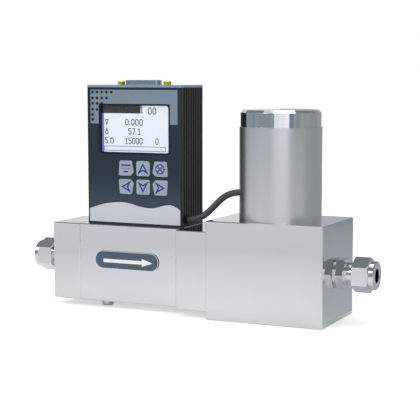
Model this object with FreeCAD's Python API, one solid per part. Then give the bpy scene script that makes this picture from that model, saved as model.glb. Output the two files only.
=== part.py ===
import FreeCAD, Part

import math
import os

from FreeCAD import Placement, Rotation, Vector

# Gas mass flow meter with a built-in solenoid control valve, in millimetres.
# +X is the direction of the gas flow, -Y is the front with the display and +Z is up.
# The origin is at floor level, midway between the ends of the two tube nuts.

# Driving sizes of the steel flow train
end_plate_length = 20.0
main_length = 72.5
adapter_length = 21.5
valve_length = 76.0
main_depth = 40.0
adapter_depth = 54.0
valve_depth = 58.0
main_height = 50.0
valve_height = 61.5
floor_gap = 4.5
flow_axis_height = 30.0
block_edge = 0.5

# Driving sizes of the flow passages and of what sits in them
flow_bore_radius = 13.0
passage_radius = 5.0
port_radius = 8.0
port_depth = 10.0
laminar_inset = 6.0
laminar_tail = 20.5
laminar_stop = 8.0
laminar_grooves = 16
laminar_groove_width = 1.0
laminar_groove_depth = 3.0
laminar_core_radius = 2.0
seal_section = 0.9
seal_ring_radius = 16.0
seal_clearance = 0.1
filter_radius = 9.0
filter_thickness = 1.0

# Driving sizes of the tube fittings
tube_bore_radius = 4.05
gas_hole_radius = 3.0
tube_stop_depth = 4.0
outlet_reach = 24.8
inlet_reach = 22.4
body_hex = 18.0
body_hex_start = 1.2
body_hex_end = 5.6
fitting_shoulder_radius = 8.3
neck_radius = 7.2
nut_hex = 19.0
nut_hex_length = 10.5
nut_collar_length = 3.3
nut_collar_radius = 8.85
nut_hole_radius = 4.3
nut_shoulder = 5.0
ferrule_radius = 5.6
front_ferrule_length = 2.2
back_ferrule_length = 1.2
thread_clearance = 0.1
fitting_cone = 1.8
fitting_bevel = 0.7
nut_edge = 0.6
nut_lead_in = 0.5

# Driving sizes of the screws, each named for its thread
m5_radius = 2.5
m5_head_radius = 4.25
m5_head_height = 5.0
m5_key = 4.0
m3_radius = 1.5
m3_head_radius = 2.75
m3_head_height = 3.0
m3_key = 2.5
m25_radius = 1.25
m25_head_radius = 2.35
m25_key = 1.5
end_screw_y = 13.5
end_screw_z = 18.0
end_screw_length = 26.0
adapter_screw_y = 13.5
adapter_screw_z = 18.0
adapter_screw_length = 26.0
flange_screw_z = 17.0
flange_screw_length = 28.0
screw_clearance = 0.15
foot_radius = 3.75
foot_stud_radius = 2.0
foot_stud_length = 6.0
foot_from_body = 13.8
foot_spread = 8.0
mount_hole_radius = 2.1
mount_hole_depth = 10.0
mount_hole_spacing = 50.0

# Driving sizes of the arrow plate on the front of the flow body
arrow_plate_length = 45.7
arrow_plate_height = 11.4
arrow_plate_thickness = 0.8
arrow_plate_edge = 0.35
arrow_plate_from_body = 11.8
arrow_plate_above_axis = 1.9

# Driving sizes of the electronics housing
housing_width = 67.4
housing_depth = 32.5
housing_inset = 0.85
base_plate_thickness = 1.5
shell_height = 86.5
top_plate_thickness = 1.5
housing_wall = 2.0
housing_corner = 0.8
label_lip = 0.8
label_thickness = 0.5
rib_count = 8
rib_groove_width = 1.5
rib_groove_depth = 0.5
rib_margin = 2.6
boss_radius = 2.4
boss_offset = 1.6
boss_hole_depth = 9.0
housing_screw_length = 7.0
board_thickness = 1.6
board_clearance = 0.2
board_slot_depth = 1.2
board_slot_rib = 1.0
display_board_back = 6.65
main_board_back = 24.25
board_margin = 4.0
board_parts = [(-20, 44, 12, 12, 2.0), (4, 48, 7, 7, 1.4), (18, 36, 9, 14, 3.0),
               (-22, 22, 8, 6, 2.5), (0, 28, 14, 5, 1.8), (20, 62, 6, 10, 4.0)]
plate_screw_x = 21.0
plate_screw_y = 10.0
plate_screw_length = 6.0

# Driving sizes of the display and the keys
window_width = 48.8
window_height = 29.8
window_centre_x = 0.4
window_above_base = 60.1
window_pane_recess = 0.5
window_pane_thickness = 1.2
window_corner = 1.6
display_module_width = 54.0
display_module_height = 34.0
display_module_gap = 0.1
display_module_corner = 0.8
display_glass_thickness = 0.6
key_centre_x = 6.8
key_pitch_x = 12.15
key_above_base = 23.3
key_pitch_z = 11.85
key_width = 9.7
key_height = 9.7
side_key_top_half = 4.1
side_key_top_outer = 4.7
side_key_belly_half = 5.5
side_key_foot_half = 3.2
side_key_belly_drop = 2.4
key_corner = 1.5
side_key_corner = 1.1
key_bevel = 0.25
key_proud = 0.5
key_gap = 0.35
key_flange = 0.65
key_flange_thickness = 0.7
key_travel = 0.5
key_stem_radius = 2.0
key_stem_gap = 0.05
dome_sheet_thickness = 0.5
dome_radius = 3.0
dome_height = 0.7

# Driving sizes of the signal connector
jack_spacing = 33.3
shell_jack_gap = 4.025
shell_width = jack_spacing - 2 * shell_jack_gap
shell_depth = 8.36
shell_proud = 3.1
shell_skin = 0.4
shell_slant = 10.0
shell_corner = 2.6
flange_end = 2.9
flange_width = jack_spacing + 2 * flange_end
flange_depth = 12.5
flange_thickness = 0.8
cutout_clearance = 0.3
connector_offset_x = -0.6
insulator_ledge = 1.5
insulator_rise = 0.6
insulator_depth = 8.0
pin_radius = 0.5
pin_row_inset = 2.93
long_row_pin_count = 8
pin_pitch = (shell_width - 2 * pin_row_inset) / (long_row_pin_count - 1)
pin_row_pitch = 2.84
pin_rise = 3.4
pin_tail = 3.0
jack_hex = 4.8
jack_height = 2.3
jack_stud_radius = 1.4
jack_stud_length = 5.0
jack_thread_radius = 1.1
jack_thread_depth = 4.0
jack_bevel = 0.35

# Driving sizes of the thermal sensor
sensor_base_width = 30.0
sensor_base_depth = 12.0
sensor_base_height = 8.0
sensor_gap = 1.0
sensor_leg_spacing = 14.0
sensor_leg_height = 12.0
sensor_tube_radius = 0.6
sensor_bend_radius = 3.0
sensor_hole_radius = 1.0
sensor_coil_radius = 1.3
sensor_coil_length = 2.6
sensor_coil_gap = 1.0
sensor_cover_height = 17.0
sensor_cover_wall = 0.8
sensor_seal_radius = 1.8
sensor_seal_section = 0.5

# Driving sizes of the valve
can_radius = 25.5
can_wall = 2.0
can_height = 57.2
cap_radius = 24.9
cap_height = 10.5
cap_chamfer = 1.7
cap_wall = 3.0
cap_spigot = 4.0
cap_fit = 0.1
flange_seat_radius = 14.0
flange_seat_depth = 4.0
valve_chamber_radius = 10.0
valve_chamber_depth = 10.0
valve_inlet_offset = 7.9
valve_inlet_radius = 1.8
valve_outlet_radius = 2.5
orifice_radius = 2.0
seat_radius = 6.0
seat_height = 2.5
lip_radius = 3.2
lip_height = 0.6
plunger_radius = 5.4
plunger_length = 28.4
plunger_fit = 0.08
plunger_travel = 0.6
plunger_gap = 0.4
seal_disc_radius = 4.6
seal_disc_thickness = 1.5
seal_disc_recess = 0.5
lip_width = 0.8
plunger_bevel = 0.4
core_tube_radius = 6.8
core_tube_height = 50.5
core_tube_stud_radius = 4.0
core_tube_stud_height = 6.0
spring_pocket_radius = 2.6
spring_pocket_depth = 8.0
spring_core_depth = 4.0
spring_radius = 1.8
spring_wire = 0.4
spring_turns = 5
core_seal_radius = 12.0
core_seal_section = 0.7
base_ring_radius = 23.0
base_ring_thickness = 2.0
bobbin_bore_radius = 7.0
bobbin_tube_radius = 8.2
bobbin_flange_radius = 20.0
bobbin_flange_thickness = 1.5
winding_radius = 18.8
coil_nut_hex = 17.0
coil_nut_height = 4.5

# Driving sizes of the signal cable between the housing and the valve can
cable_radius = 2.075
cable_exit_y = -8.5
cable_exit_height = 3.0
cable_entry_height = 15.7
bush_collar_radius = 2.9
bush_collar_thickness = 0.6
bush_plug_radius = 2.4
bush_clearance = 0.1
# The cable's bends, each as shares (along, across, up) of the way from the housing to the can
cable_bends = [(0.2157, 0.1094, 0.0473), (0.3914, 0.3306, 0.2698), (0.6467, 0.7153, 0.8132),
               (0.8324, 0.9176, 0.9764)]

# Places that follow from the driving sizes
block_length = end_plate_length + main_length + adapter_length + valve_length
inlet_face_x = -(inlet_reach + block_length + outlet_reach) / 2 + inlet_reach
body_x = inlet_face_x + end_plate_length
laminar_length = main_length - laminar_inset - laminar_tail
flow_bore_length = laminar_inset + laminar_length + laminar_stop
adapter_x = body_x + main_length
valve_x = adapter_x + adapter_length
outlet_face_x = valve_x + valve_length
body_top = floor_gap + main_height
body_middle = floor_gap + main_height / 2
valve_centre_x = valve_x + valve_length / 2

housing_right = adapter_x - housing_inset
housing_left = housing_right - housing_width
housing_x = (housing_left + housing_right) / 2
housing_front = -housing_depth / 2
housing_back = housing_depth / 2
shell_bottom = body_top + base_plate_thickness
shell_top = shell_bottom + shell_height
housing_top = shell_top + top_plate_thickness
label_back = housing_front + label_thickness
wall_back = housing_front + housing_wall
inner_half_x = housing_width / 2 - housing_wall
inner_back = housing_back - housing_wall
display_board_y = housing_front + display_board_back
main_board_y = housing_front + main_board_back
boss_x = inner_half_x - boss_offset
boss_front = wall_back + boss_offset
boss_back = inner_back - boss_offset
window_centre_z = shell_bottom + window_above_base
key_lower_z = shell_bottom + key_above_base
cable_exit_z = shell_bottom + cable_exit_height
cable_entry_z = valve_height + cable_entry_height

AXIS_X = Vector(1, 0, 0)
AXIS_Y = Vector(0, 1, 0)
AXIS_Z = Vector(0, 0, 1)


def box(x0, x1, y0, y1, z0, z1):
    """A box between two opposite corners."""
    return Part.makeBox(x1 - x0, y1 - y0, z1 - z0, Vector(x0, y0, z0))


def rod(start, direction, radius, length):
    """A round bar from its start point."""
    return Part.makeCylinder(radius, length, Vector(*start), direction)


def placed(shape, start, direction):
    """A shape built along +X from zero, moved so that it starts at a point and runs along a direction."""
    shape = shape.copy()
    shape.Placement = Placement(Vector(*start), Rotation(AXIS_X, direction))
    return shape


def turned(profile, start=(0, 0, 0), direction=AXIS_X):
    """A solid of revolution. The profile is a closed list of (distance along the axis, radius)."""
    points = [Vector(along, radius, 0) for along, radius in profile]
    face = Part.Face(Part.makePolygon(points + points[:1]))
    return placed(face.revolve(Vector(0, 0, 0), AXIS_X, 360), start, direction)


def ring(along, radius, section, start, direction):
    """A sealing ring about an axis, drawn with eight flat sides instead of a round section."""
    side = section * math.tan(math.pi / 8)
    profile = [(-section, -side), (-side, -section), (side, -section), (section, -side),
               (section, side), (side, section), (-side, section), (-section, side)]
    return turned([(along + x, radius + y) for x, y in profile], start, direction)


def hexagon(across_flats, along, length, turn=0.0):
    """A hexagonal bar along +X. Without a turn its corners point up and down."""
    radius = across_flats / 2 / math.cos(math.pi / 6)
    angles = [math.radians(60 * corner + turn) for corner in range(6)]
    points = [Vector(along, radius * math.sin(a), radius * math.cos(a)) for a in angles]
    return Part.Face(Part.makePolygon(points + points[:1])).extrude(Vector(length, 0, 0))


def rounded_wire(corners, radius):
    """A closed outline through corner points, with every corner rounded to one radius."""
    edges = []
    starts = []
    ends = []
    count = len(corners)
    for index in range(count):
        here = corners[index]
        to_last = (corners[index - 1] - here).normalize()
        to_next = (corners[(index + 1) % count] - here).normalize()
        half = to_last.getAngle(to_next) / 2
        reach = radius / math.tan(half)
        middle = (to_last + to_next).normalize() * (radius / math.sin(half) - radius)
        start = here + to_last * reach
        end = here + to_next * reach
        edges.append(Part.Arc(start, here + middle, end).toShape())
        starts.append(start)
        ends.append(end)
    for index in range(count):
        start = ends[index]
        end = starts[(index + 1) % count]
        if start.distanceToPoint(end) > 1e-6:
            edges.append(Part.LineSegment(start, end).toShape())
    return Part.Wire(Part.__sortEdges__(edges))


def front_plate(outline, y, thickness, radius):
    """A plate in the XZ plane from an outline of (x, z), extruded to the back from y."""
    corners = [Vector(x, y, z) for x, z in outline]
    return Part.Face(rounded_wire(corners, radius)).extrude(Vector(0, thickness, 0))


def flat_plate(outline, z, thickness, radius):
    """A plate in the XY plane from an outline of (x, y), extruded upwards from z."""
    corners = [Vector(x, y, z) for x, y in outline]
    return Part.Face(rounded_wire(corners, radius)).extrude(Vector(0, 0, thickness))


def rectangle(x, z, width, height):
    """The corners of a rectangle about its centre."""
    half_w = width / 2
    half_h = height / 2
    return [(x - half_w, z - half_h), (x + half_w, z - half_h),
            (x + half_w, z + half_h), (x - half_w, z + half_h)]


def grown(outline, margin):
    """An outline with every side moved outwards by a margin, for outlines without inward corners."""
    corners = [Vector(x, y, 0) for x, y in outline]
    count = len(corners)
    result = []
    for index in range(count):
        here = corners[index]
        to_last = (corners[index - 1] - here).normalize()
        to_next = (corners[(index + 1) % count] - here).normalize()
        half = to_last.getAngle(to_next) / 2
        moved = here - (to_last + to_next).normalize() * (margin / math.sin(half))
        result.append((moved.x, moved.y))
    return result


def cap_screw(radius, head_radius, head_height, key, length):
    """A socket head screw along +X, with the underside of its head at zero."""
    edge = head_height * 0.1
    head = turned([(-head_height, 0), (-head_height, head_radius - edge), (-head_height + edge, head_radius),
                   (0, head_radius), (0, radius), (length, radius), (length, 0)])
    return head.cut(hexagon(key, -head_height - 1, head_height * 0.5 + 1))


def sunk_screw(radius, head_radius, head_height, key, length):
    """A countersunk screw along +X, with the top of its head at zero."""
    head = turned([(0, 0), (0, head_radius), (head_height, radius), (length, radius), (length, 0)])
    return head.cut(hexagon(key, -1, head_height * 0.6 + 1))


def sink(radius, head_radius, head_height, clearance):
    """The cone that a countersunk head fits, along +X from zero."""
    return turned([(0, 0), (0, head_radius + clearance), (head_height, radius + clearance), (head_height, 0)])


def group(shapes):
    """Several separate solids kept as one node."""
    return Part.makeCompound(shapes)


def edged_block(x0, x1, depth, z0, z1):
    """A milled steel block with a small bevel on all of its edges."""
    block = box(x0, x1, -depth / 2, depth / 2, z0, z1)
    return block.makeChamfer(block_edge, block.Edges)


def four(y, z):
    """Four places (y, z) about the flow train's middle."""
    return [(side * y, body_middle + level * z) for side in (-1, 1) for level in (-1, 1)]


def flow_rod(x, radius, length):
    """A round bar along the flow axis."""
    return rod((x, 0, flow_axis_height), AXIS_X, radius, length)


def seal_groove(x):
    """The groove for a sealing ring, cut into the face at x towards +X."""
    outer = seal_ring_radius + seal_section + seal_clearance
    inner = seal_ring_radius - seal_section - seal_clearance
    depth = 2 * seal_section
    return flow_rod(x, outer, depth).cut(flow_rod(x, inner, depth))


def port(face_x, direction):
    """The threaded port that a tube fitting screws into."""
    start = (face_x, 0, flow_axis_height)
    return rod(start, direction, port_radius + thread_clearance, port_depth + thread_clearance)


def inlet_end_plate():
    """The plate at the inlet end, with its port, its four counterbored screws and a filter seat."""
    plate = edged_block(inlet_face_x, body_x, main_depth, floor_gap, body_top)
    plate = plate.cut(port(inlet_face_x, AXIS_X))
    plate = plate.cut(flow_rod(inlet_face_x, passage_radius, end_plate_length))
    seat_x = body_x - filter_thickness
    plate = plate.cut(flow_rod(seat_x, filter_radius + seal_clearance, filter_thickness))
    for y, z in four(end_screw_y, end_screw_z):
        plate = plate.cut(rod((inlet_face_x, y, z), AXIS_X, m5_radius + screw_clearance, end_plate_length))
        plate = plate.cut(rod((inlet_face_x, y, z), AXIS_X, m5_head_radius + screw_clearance, m5_head_height))
    return plate


def end_plate_screws():
    """The four screws that hold the end plate to the flow body."""
    screw = cap_screw(m5_radius, m5_head_radius, m5_head_height, m5_key, end_screw_length)
    start_x = inlet_face_x + m5_head_height
    return group([placed(screw, (start_x, y, z), AXIS_X) for y, z in four(end_screw_y, end_screw_z)])


def sensor_ports():
    """The x places of the two sensor taps on the flow body."""
    middle = body_x + laminar_inset + laminar_length / 2
    return [middle - sensor_leg_spacing / 2, middle + sensor_leg_spacing / 2]


def sensor_middle():
    """The x place midway between the sensor taps."""
    return sum(sensor_ports()) / 2


def foot_x():
    """The x place of the two feet."""
    return body_x + foot_from_body


def flow_body():
    """The main block, bored for the laminar flow element, with taps for the sensor."""
    body = edged_block(body_x, adapter_x, main_depth, floor_gap, body_top)
    body = body.cut(flow_rod(body_x, flow_bore_radius, flow_bore_length))
    body = body.cut(flow_rod(body_x, passage_radius, main_length))
    body = body.cut(seal_groove(body_x))
    tap_length = body_top - flow_axis_height
    for x in sensor_ports():
        body = body.cut(rod((x, 0, flow_axis_height), AXIS_Z, sensor_hole_radius, tap_length))
    depth = end_screw_length - end_plate_length + m5_head_height + 1
    for y, z in four(end_screw_y, end_screw_z):
        body = body.cut(rod((body_x, y, z), AXIS_X, m5_radius + screw_clearance, depth))
    depth = adapter_screw_length - adapter_length + m5_head_height + 1
    for y, z in four(adapter_screw_y, adapter_screw_z):
        body = body.cut(rod((adapter_x, y, z), -AXIS_X, m5_radius + screw_clearance, depth))
    for side in (-1, 1):
        start = (foot_x(), side * foot_spread, floor_gap)
        body = body.cut(rod(start, AXIS_Z, foot_stud_radius + screw_clearance, foot_stud_length + 1))
    for x, y in plate_screw_places():
        hole_length = m3_hole_length()
        body = body.cut(rod((x, y, body_top - hole_length), AXIS_Z, m3_radius + screw_clearance, hole_length))
    return body


def m3_hole_length():
    """How deep the base plate's screws go into the flow body, with a little room."""
    return plate_screw_length - base_plate_thickness + 0.5


def plate_screw_places():
    """The four places (x, y) of the screws through the base plate."""
    return [(housing_x + side * plate_screw_x, level * plate_screw_y)
            for side in (-1, 1) for level in (-1, 1)]


def adapter_plate():
    """The plate between the flow body and the valve block, wider than the body for its own screws."""
    plate = edged_block(adapter_x, valve_x, adapter_depth, floor_gap, body_top)
    plate = plate.cut(flow_rod(adapter_x, passage_radius, adapter_length))
    plate = plate.cut(seal_groove(adapter_x))
    for y, z in four(adapter_screw_y, adapter_screw_z):
        plate = plate.cut(rod((valve_x, y, z), -AXIS_X, m5_radius + screw_clearance, adapter_length))
        plate = plate.cut(rod((valve_x, y, z), -AXIS_X, m5_head_radius + screw_clearance, m5_head_height))
    for y, z in four(flange_screw_y(), flange_screw_z):
        plate = plate.cut(rod((adapter_x, y, z), AXIS_X, m3_radius + screw_clearance, adapter_length))
        plate = plate.cut(rod((adapter_x, y, z), AXIS_X, m3_head_radius + screw_clearance, m3_head_height))
    return plate


def adapter_screws():
    """The four screws that hold the adapter plate to the flow body, sunk in its valve side."""
    screw = cap_screw(m5_radius, m5_head_radius, m5_head_height, m5_key, adapter_screw_length)
    start_x = valve_x - m5_head_height
    return group([placed(screw, (start_x, y, z), -AXIS_X) for y, z in four(adapter_screw_y, adapter_screw_z)])


def flange_screw_y():
    """How far the flange screws lie from the middle: half way out on the adapter plate's ledge."""
    return (main_depth + adapter_depth) / 4


def flange_screws():
    """The four screws sunk in the adapter plate's ledges, which hold the valve block."""
    screw = cap_screw(m3_radius, m3_head_radius, m3_head_height, m3_key, flange_screw_length)
    start_x = adapter_x + m3_head_height
    return group([placed(screw, (start_x, y, z), AXIS_X) for y, z in four(flange_screw_y(), flange_screw_z)])


def block_seals():
    """The sealing rings between the blocks of the flow train."""
    middle = seal_section
    places = (body_x, adapter_x, valve_x)
    starts = [(x, 0, flow_axis_height) for x in places]
    return group([ring(middle, seal_ring_radius, seal_section, start, AXIS_X) for start in starts])


def valve_block():
    """The block that carries the valve: a pocket for the core tube, and passages to and from the seat."""
    block = edged_block(valve_x, outlet_face_x, valve_depth, 0, valve_height)
    step_z = valve_height - flange_seat_depth
    floor_z = valve_height - valve_chamber_depth
    start = (valve_centre_x, 0, step_z)
    block = block.cut(rod(start, AXIS_Z, flange_seat_radius + seal_clearance, flange_seat_depth))
    block = block.cut(rod((valve_centre_x, 0, floor_z), AXIS_Z, valve_chamber_radius, valve_chamber_depth))
    groove_depth = 2 * core_seal_section
    outer = core_seal_radius + core_seal_section + seal_clearance
    inner = core_seal_radius - core_seal_section - seal_clearance
    start = (valve_centre_x, 0, step_z - groove_depth)
    block = block.cut(rod(start, AXIS_Z, outer, groove_depth).cut(rod(start, AXIS_Z, inner, groove_depth)))
    inlet_x = valve_centre_x - valve_inlet_offset
    riser = floor_z - flow_axis_height
    block = block.cut(flow_rod(valve_x, passage_radius, inlet_x - valve_x - passage_radius))
    block = block.cut(flow_rod(valve_x, valve_inlet_radius, inlet_x - valve_x))
    block = block.cut(rod((inlet_x, 0, flow_axis_height), AXIS_Z, valve_inlet_radius, riser))
    block = block.cut(rod((valve_centre_x, 0, flow_axis_height), AXIS_Z, valve_outlet_radius, riser))
    outlet_start = valve_centre_x
    block = block.cut(flow_rod(outlet_start, valve_outlet_radius, outlet_face_x - outlet_start))
    block = block.cut(port(outlet_face_x, -AXIS_X))
    block = block.cut(seal_groove(valve_x))
    depth = flange_screw_length - adapter_length + m3_head_height + 1
    for y, z in four(flange_screw_y(), flange_screw_z):
        block = block.cut(rod((valve_x, y, z), AXIS_X, m3_radius + screw_clearance, depth))
    for side in (-1, 1):
        start = (valve_centre_x + side * mount_hole_spacing / 2, 0, 0)
        block = block.cut(rod(start, AXIS_Z, mount_hole_radius, mount_hole_depth))
    return block


def level_feet():
    """The two round feet that carry the inlet side level with the valve block."""
    edge = foot_radius * 0.1
    foot = turned([(0, 0), (0, foot_radius - edge), (edge, foot_radius), (floor_gap, foot_radius),
                   (floor_gap, foot_stud_radius), (floor_gap + foot_stud_length, foot_stud_radius),
                   (floor_gap + foot_stud_length, 0)])
    return group([placed(foot, (foot_x(), side * foot_spread, 0), AXIS_Z) for side in (-1, 1)])


def laminar_flow_element():
    """The bypass core: a bar with deep straight grooves all round and a hub that is bored through."""
    radius = flow_bore_radius
    start_x = body_x + laminar_inset
    core = flow_rod(start_x, radius, laminar_length)
    groove = box(start_x, start_x + laminar_length, -laminar_groove_width / 2, laminar_groove_width / 2,
                 flow_axis_height + radius - laminar_groove_depth, flow_axis_height + radius + 1)
    for index in range(laminar_grooves):
        cutter = groove.copy()
        cutter.rotate(Vector(start_x, 0, flow_axis_height), AXIS_X, 360 * index / laminar_grooves)
        core = core.cut(cutter)
    return core.cut(flow_rod(start_x, laminar_core_radius, laminar_length))


def inlet_filter_screen():
    """The sintered disc that lies in the end plate's face."""
    return flow_rod(body_x - filter_thickness, filter_radius, filter_thickness)


def tube_fitting(reach):
    """The pieces of a compression fitting along +X from the port's face to the nut's end at reach."""
    neck_end = reach - nut_collar_length - nut_shoulder + 0.5
    mouth = ferrule_radius
    cone = fitting_cone
    hex_bar = hexagon(body_hex, body_hex_start, body_hex_end - body_hex_start, 30)
    corner = body_hex / 2 / math.cos(math.pi / 6)
    bevel = fitting_bevel
    trimmed = turned([(body_hex_start, 0), (body_hex_start, corner - bevel),
                      (body_hex_start + bevel / 2, corner), (body_hex_end - bevel / 2, corner),
                      (body_hex_end, corner - bevel), (body_hex_end, 0)])
    body = turned([(-port_depth, 0), (-port_depth, port_radius), (0, port_radius),
                   (0, fitting_shoulder_radius), (body_hex_start, fitting_shoulder_radius),
                   (body_hex_end, neck_radius),
                   (neck_end, neck_radius), (neck_end, 0)])
    body = body.fuse(hex_bar.common(trimmed)).removeSplitter()
    body = body.cut(rod((-port_depth, 0, 0), AXIS_X, gas_hole_radius, port_depth + reach))
    body = body.cut(turned([(tube_stop_depth, 0), (tube_stop_depth, tube_bore_radius),
                            (neck_end - cone, tube_bore_radius), (neck_end, mouth), (neck_end, 0)]))

    nut_start = reach - nut_collar_length - nut_hex_length
    hex_end = reach - nut_collar_length
    corner = nut_hex / 2 / math.cos(math.pi / 6)
    nut_hexagon = hexagon(nut_hex, nut_start, nut_hex_length)
    trimmed = turned([(nut_start, 0), (nut_start, corner - bevel), (nut_start + bevel / 2, corner),
                      (hex_end - bevel, corner), (hex_end, corner - 2 * bevel), (hex_end, 0)])
    edge = nut_edge
    collar = turned([(hex_end, 0), (hex_end, nut_collar_radius), (reach - edge, nut_collar_radius),
                     (reach, nut_collar_radius - edge), (reach, 0)])
    nut = nut_hexagon.common(trimmed).fuse(collar).removeSplitter()
    thread_radius = neck_radius + thread_clearance
    back_seat = neck_end - cone / 2 + front_ferrule_length + back_ferrule_length + thread_clearance
    lead_in = nut_lead_in
    thread_end = neck_end + thread_clearance
    nut = nut.cut(turned([(nut_start, 0), (nut_start, thread_radius), (thread_end, thread_radius),
                          (back_seat, ferrule_radius + thread_clearance), (back_seat, nut_hole_radius),
                          (reach - lead_in, nut_hole_radius), (reach, nut_hole_radius + lead_in),
                          (reach, 0)]))

    front_start = neck_end - cone / 2
    slope = (mouth - tube_bore_radius) / cone
    nose = tube_bore_radius + slope * cone / 2 - thread_clearance
    front_end = front_start + front_ferrule_length
    front = turned([(front_start, tube_bore_radius), (front_start, nose),
                    (neck_end, mouth - thread_clearance), (front_end, mouth - thread_clearance),
                    (front_end, tube_bore_radius)])
    back_start = front_end
    back_end = back_start + back_ferrule_length
    back = turned([(back_start, tube_bore_radius), (back_start, mouth - 0.5),
                   (back_end, mouth - thread_clearance), (back_end, tube_bore_radius)])
    return body, nut, front, back


def tube_fittings():
    """Both fittings: the outlet's along +X, the inlet's along -X."""
    outlet = [placed(p, (outlet_face_x, 0, flow_axis_height), AXIS_X) for p in tube_fitting(outlet_reach)]
    inlet = [placed(p, (inlet_face_x, 0, flow_axis_height), -AXIS_X) for p in tube_fitting(inlet_reach)]
    return {"inlet_fitting_body": inlet[0], "outlet_fitting_body": outlet[0],
            "inlet_nut": inlet[1], "outlet_nut": outlet[1],
            "front_ferrules": group([inlet[2], outlet[2]]), "back_ferrules": group([inlet[3], outlet[3]])}


def flow_arrow_plate():
    """The stadium-shaped plate on the front of the flow body, with a bevelled rim."""
    x0 = body_x + arrow_plate_from_body
    middle_z = flow_axis_height + arrow_plate_above_axis
    outline = rectangle(x0 + arrow_plate_length / 2, middle_z, arrow_plate_length, arrow_plate_height)
    front = -main_depth / 2 - arrow_plate_thickness
    plate = front_plate(outline, front, arrow_plate_thickness, arrow_plate_height / 2 - 0.01)
    rim = [edge for edge in plate.Edges if abs(edge.CenterOfMass.y - front) < 1e-6]
    return plate.makeChamfer(arrow_plate_edge, rim)


def base_plate():
    """The black plate between the flow body and the housing, open around the sensor."""
    outline = [(housing_left, housing_front), (housing_right, housing_front),
               (housing_right, housing_back), (housing_left, housing_back)]
    plate = flat_plate(outline, body_top, base_plate_thickness, housing_corner)
    half_x = sensor_base_width / 2 + board_clearance
    half_y = sensor_base_depth / 2 + board_clearance
    middle = sensor_middle()
    plate = plate.cut(box(middle - half_x, middle + half_x, -half_y, half_y, body_top - 1, shell_bottom + 1))
    cone = sink(m3_radius, m3_head_radius, base_plate_thickness, screw_clearance)
    for x, y in plate_screw_places():
        plate = plate.cut(placed(cone, (x, y, shell_bottom), -AXIS_Z))
    cone = sink(m25_radius, m25_head_radius, base_plate_thickness, screw_clearance)
    for x, y in boss_places():
        plate = plate.cut(placed(cone, (x, y, body_top), AXIS_Z))
    return plate


def base_plate_screws():
    """The four screws that hold the base plate to the flow body."""
    screw = sunk_screw(m3_radius, m3_head_radius, base_plate_thickness, m3_key * 0.7, plate_screw_length)
    return group([placed(screw, (x, y, shell_bottom), -AXIS_Z) for x, y in plate_screw_places()])


def boss_places():
    """The four places (x, y) of the screw ports in the housing's corners."""
    return [(housing_x + side * boss_x, y) for side in (-1, 1) for y in (boss_front, boss_back)]


def housing_screws():
    """The four screws that hold the base plate to the housing from below."""
    screw = sunk_screw(m25_radius, m25_head_radius, base_plate_thickness, m25_key, housing_screw_length)
    return group([placed(screw, (x, y, body_top), AXIS_Z) for x, y in boss_places()])


def top_plate_screws():
    """The four screws that hold the top plate to the housing."""
    screw = sunk_screw(m25_radius, m25_head_radius, top_plate_thickness, m25_key, housing_screw_length)
    return group([placed(screw, (x, y, housing_top), -AXIS_Z) for x, y in boss_places()])


def rib_grooves():
    """The straight grooves between the fine ribs on both sides of the housing."""
    room = housing_depth - 2 * rib_margin
    pitch = room / rib_count
    cutters = []
    for index in range(rib_count):
        y0 = housing_front + rib_margin + pitch * index + (pitch - rib_groove_width) / 2
        for x0 in (housing_left, housing_right - rib_groove_depth):
            cutters.append(box(x0, x0 + rib_groove_depth, y0, y0 + rib_groove_width, shell_bottom, shell_top))
    return cutters


def board_slots(y):
    """The pairs of small inner ribs that hold a board's edges, for a board whose front is at y."""
    front = y - board_clearance / 2
    back = front + board_thickness + board_clearance
    ribs = []
    for side in (-1, 1):
        wall = housing_x + side * inner_half_x
        tip = wall - side * board_slot_depth
        for y0 in (front - board_slot_rib, back):
            ribs.append(box(min(wall, tip), max(wall, tip), y0, y0 + board_slot_rib, shell_bottom, shell_top))
    return ribs


def housing_shell():
    """The extruded housing: ribbed sides, screw ports in the corners, board slots and a label recess."""
    outline = [(housing_left, housing_front), (housing_right, housing_front),
               (housing_right, housing_back), (housing_left, housing_back)]
    shell = flat_plate(outline, shell_bottom, shell_height, housing_corner)
    shell = shell.cut(rib_grooves())
    shell = shell.cut(box(housing_left + label_lip, housing_right - label_lip, housing_front - 1, label_back,
                          shell_bottom, shell_top))
    room = box(housing_x - inner_half_x, housing_x + inner_half_x, wall_back, inner_back,
               shell_bottom, shell_top)
    shell = shell.cut(room)
    bosses = [rod((x, y, shell_bottom), AXIS_Z, boss_radius, shell_height) for x, y in boss_places()]
    inner = [boss.common(room) for boss in bosses] + board_slots(display_board_y) + board_slots(main_board_y)
    shell = shell.fuse(inner).removeSplitter()
    for x, y in boss_places():
        shell = shell.cut(rod((x, y, shell_bottom), AXIS_Z, m25_radius + screw_clearance, boss_hole_depth))
        shell = shell.cut(rod((x, y, shell_top), -AXIS_Z, m25_radius + screw_clearance, boss_hole_depth))
    shell = shell.cut(window_cutter(label_back - 1, housing_wall + 2))
    for name in key_names():
        shell = shell.cut(key_outline_plate(name, label_back - 1, housing_wall + 2, key_gap))
    start = (housing_right + 1, cable_exit_y, cable_exit_z)
    return shell.cut(rod(start, -AXIS_X, bush_plug_radius + bush_clearance, housing_wall + 2))


def window_x():
    """The x place of the display window's centre."""
    return housing_x + window_centre_x


def window_cutter(y, length):
    """The rounded form of the display window, from y towards the back."""
    outline = rectangle(window_x(), window_centre_z, window_width, window_height)
    return front_plate(outline, y, length, window_corner)


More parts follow.
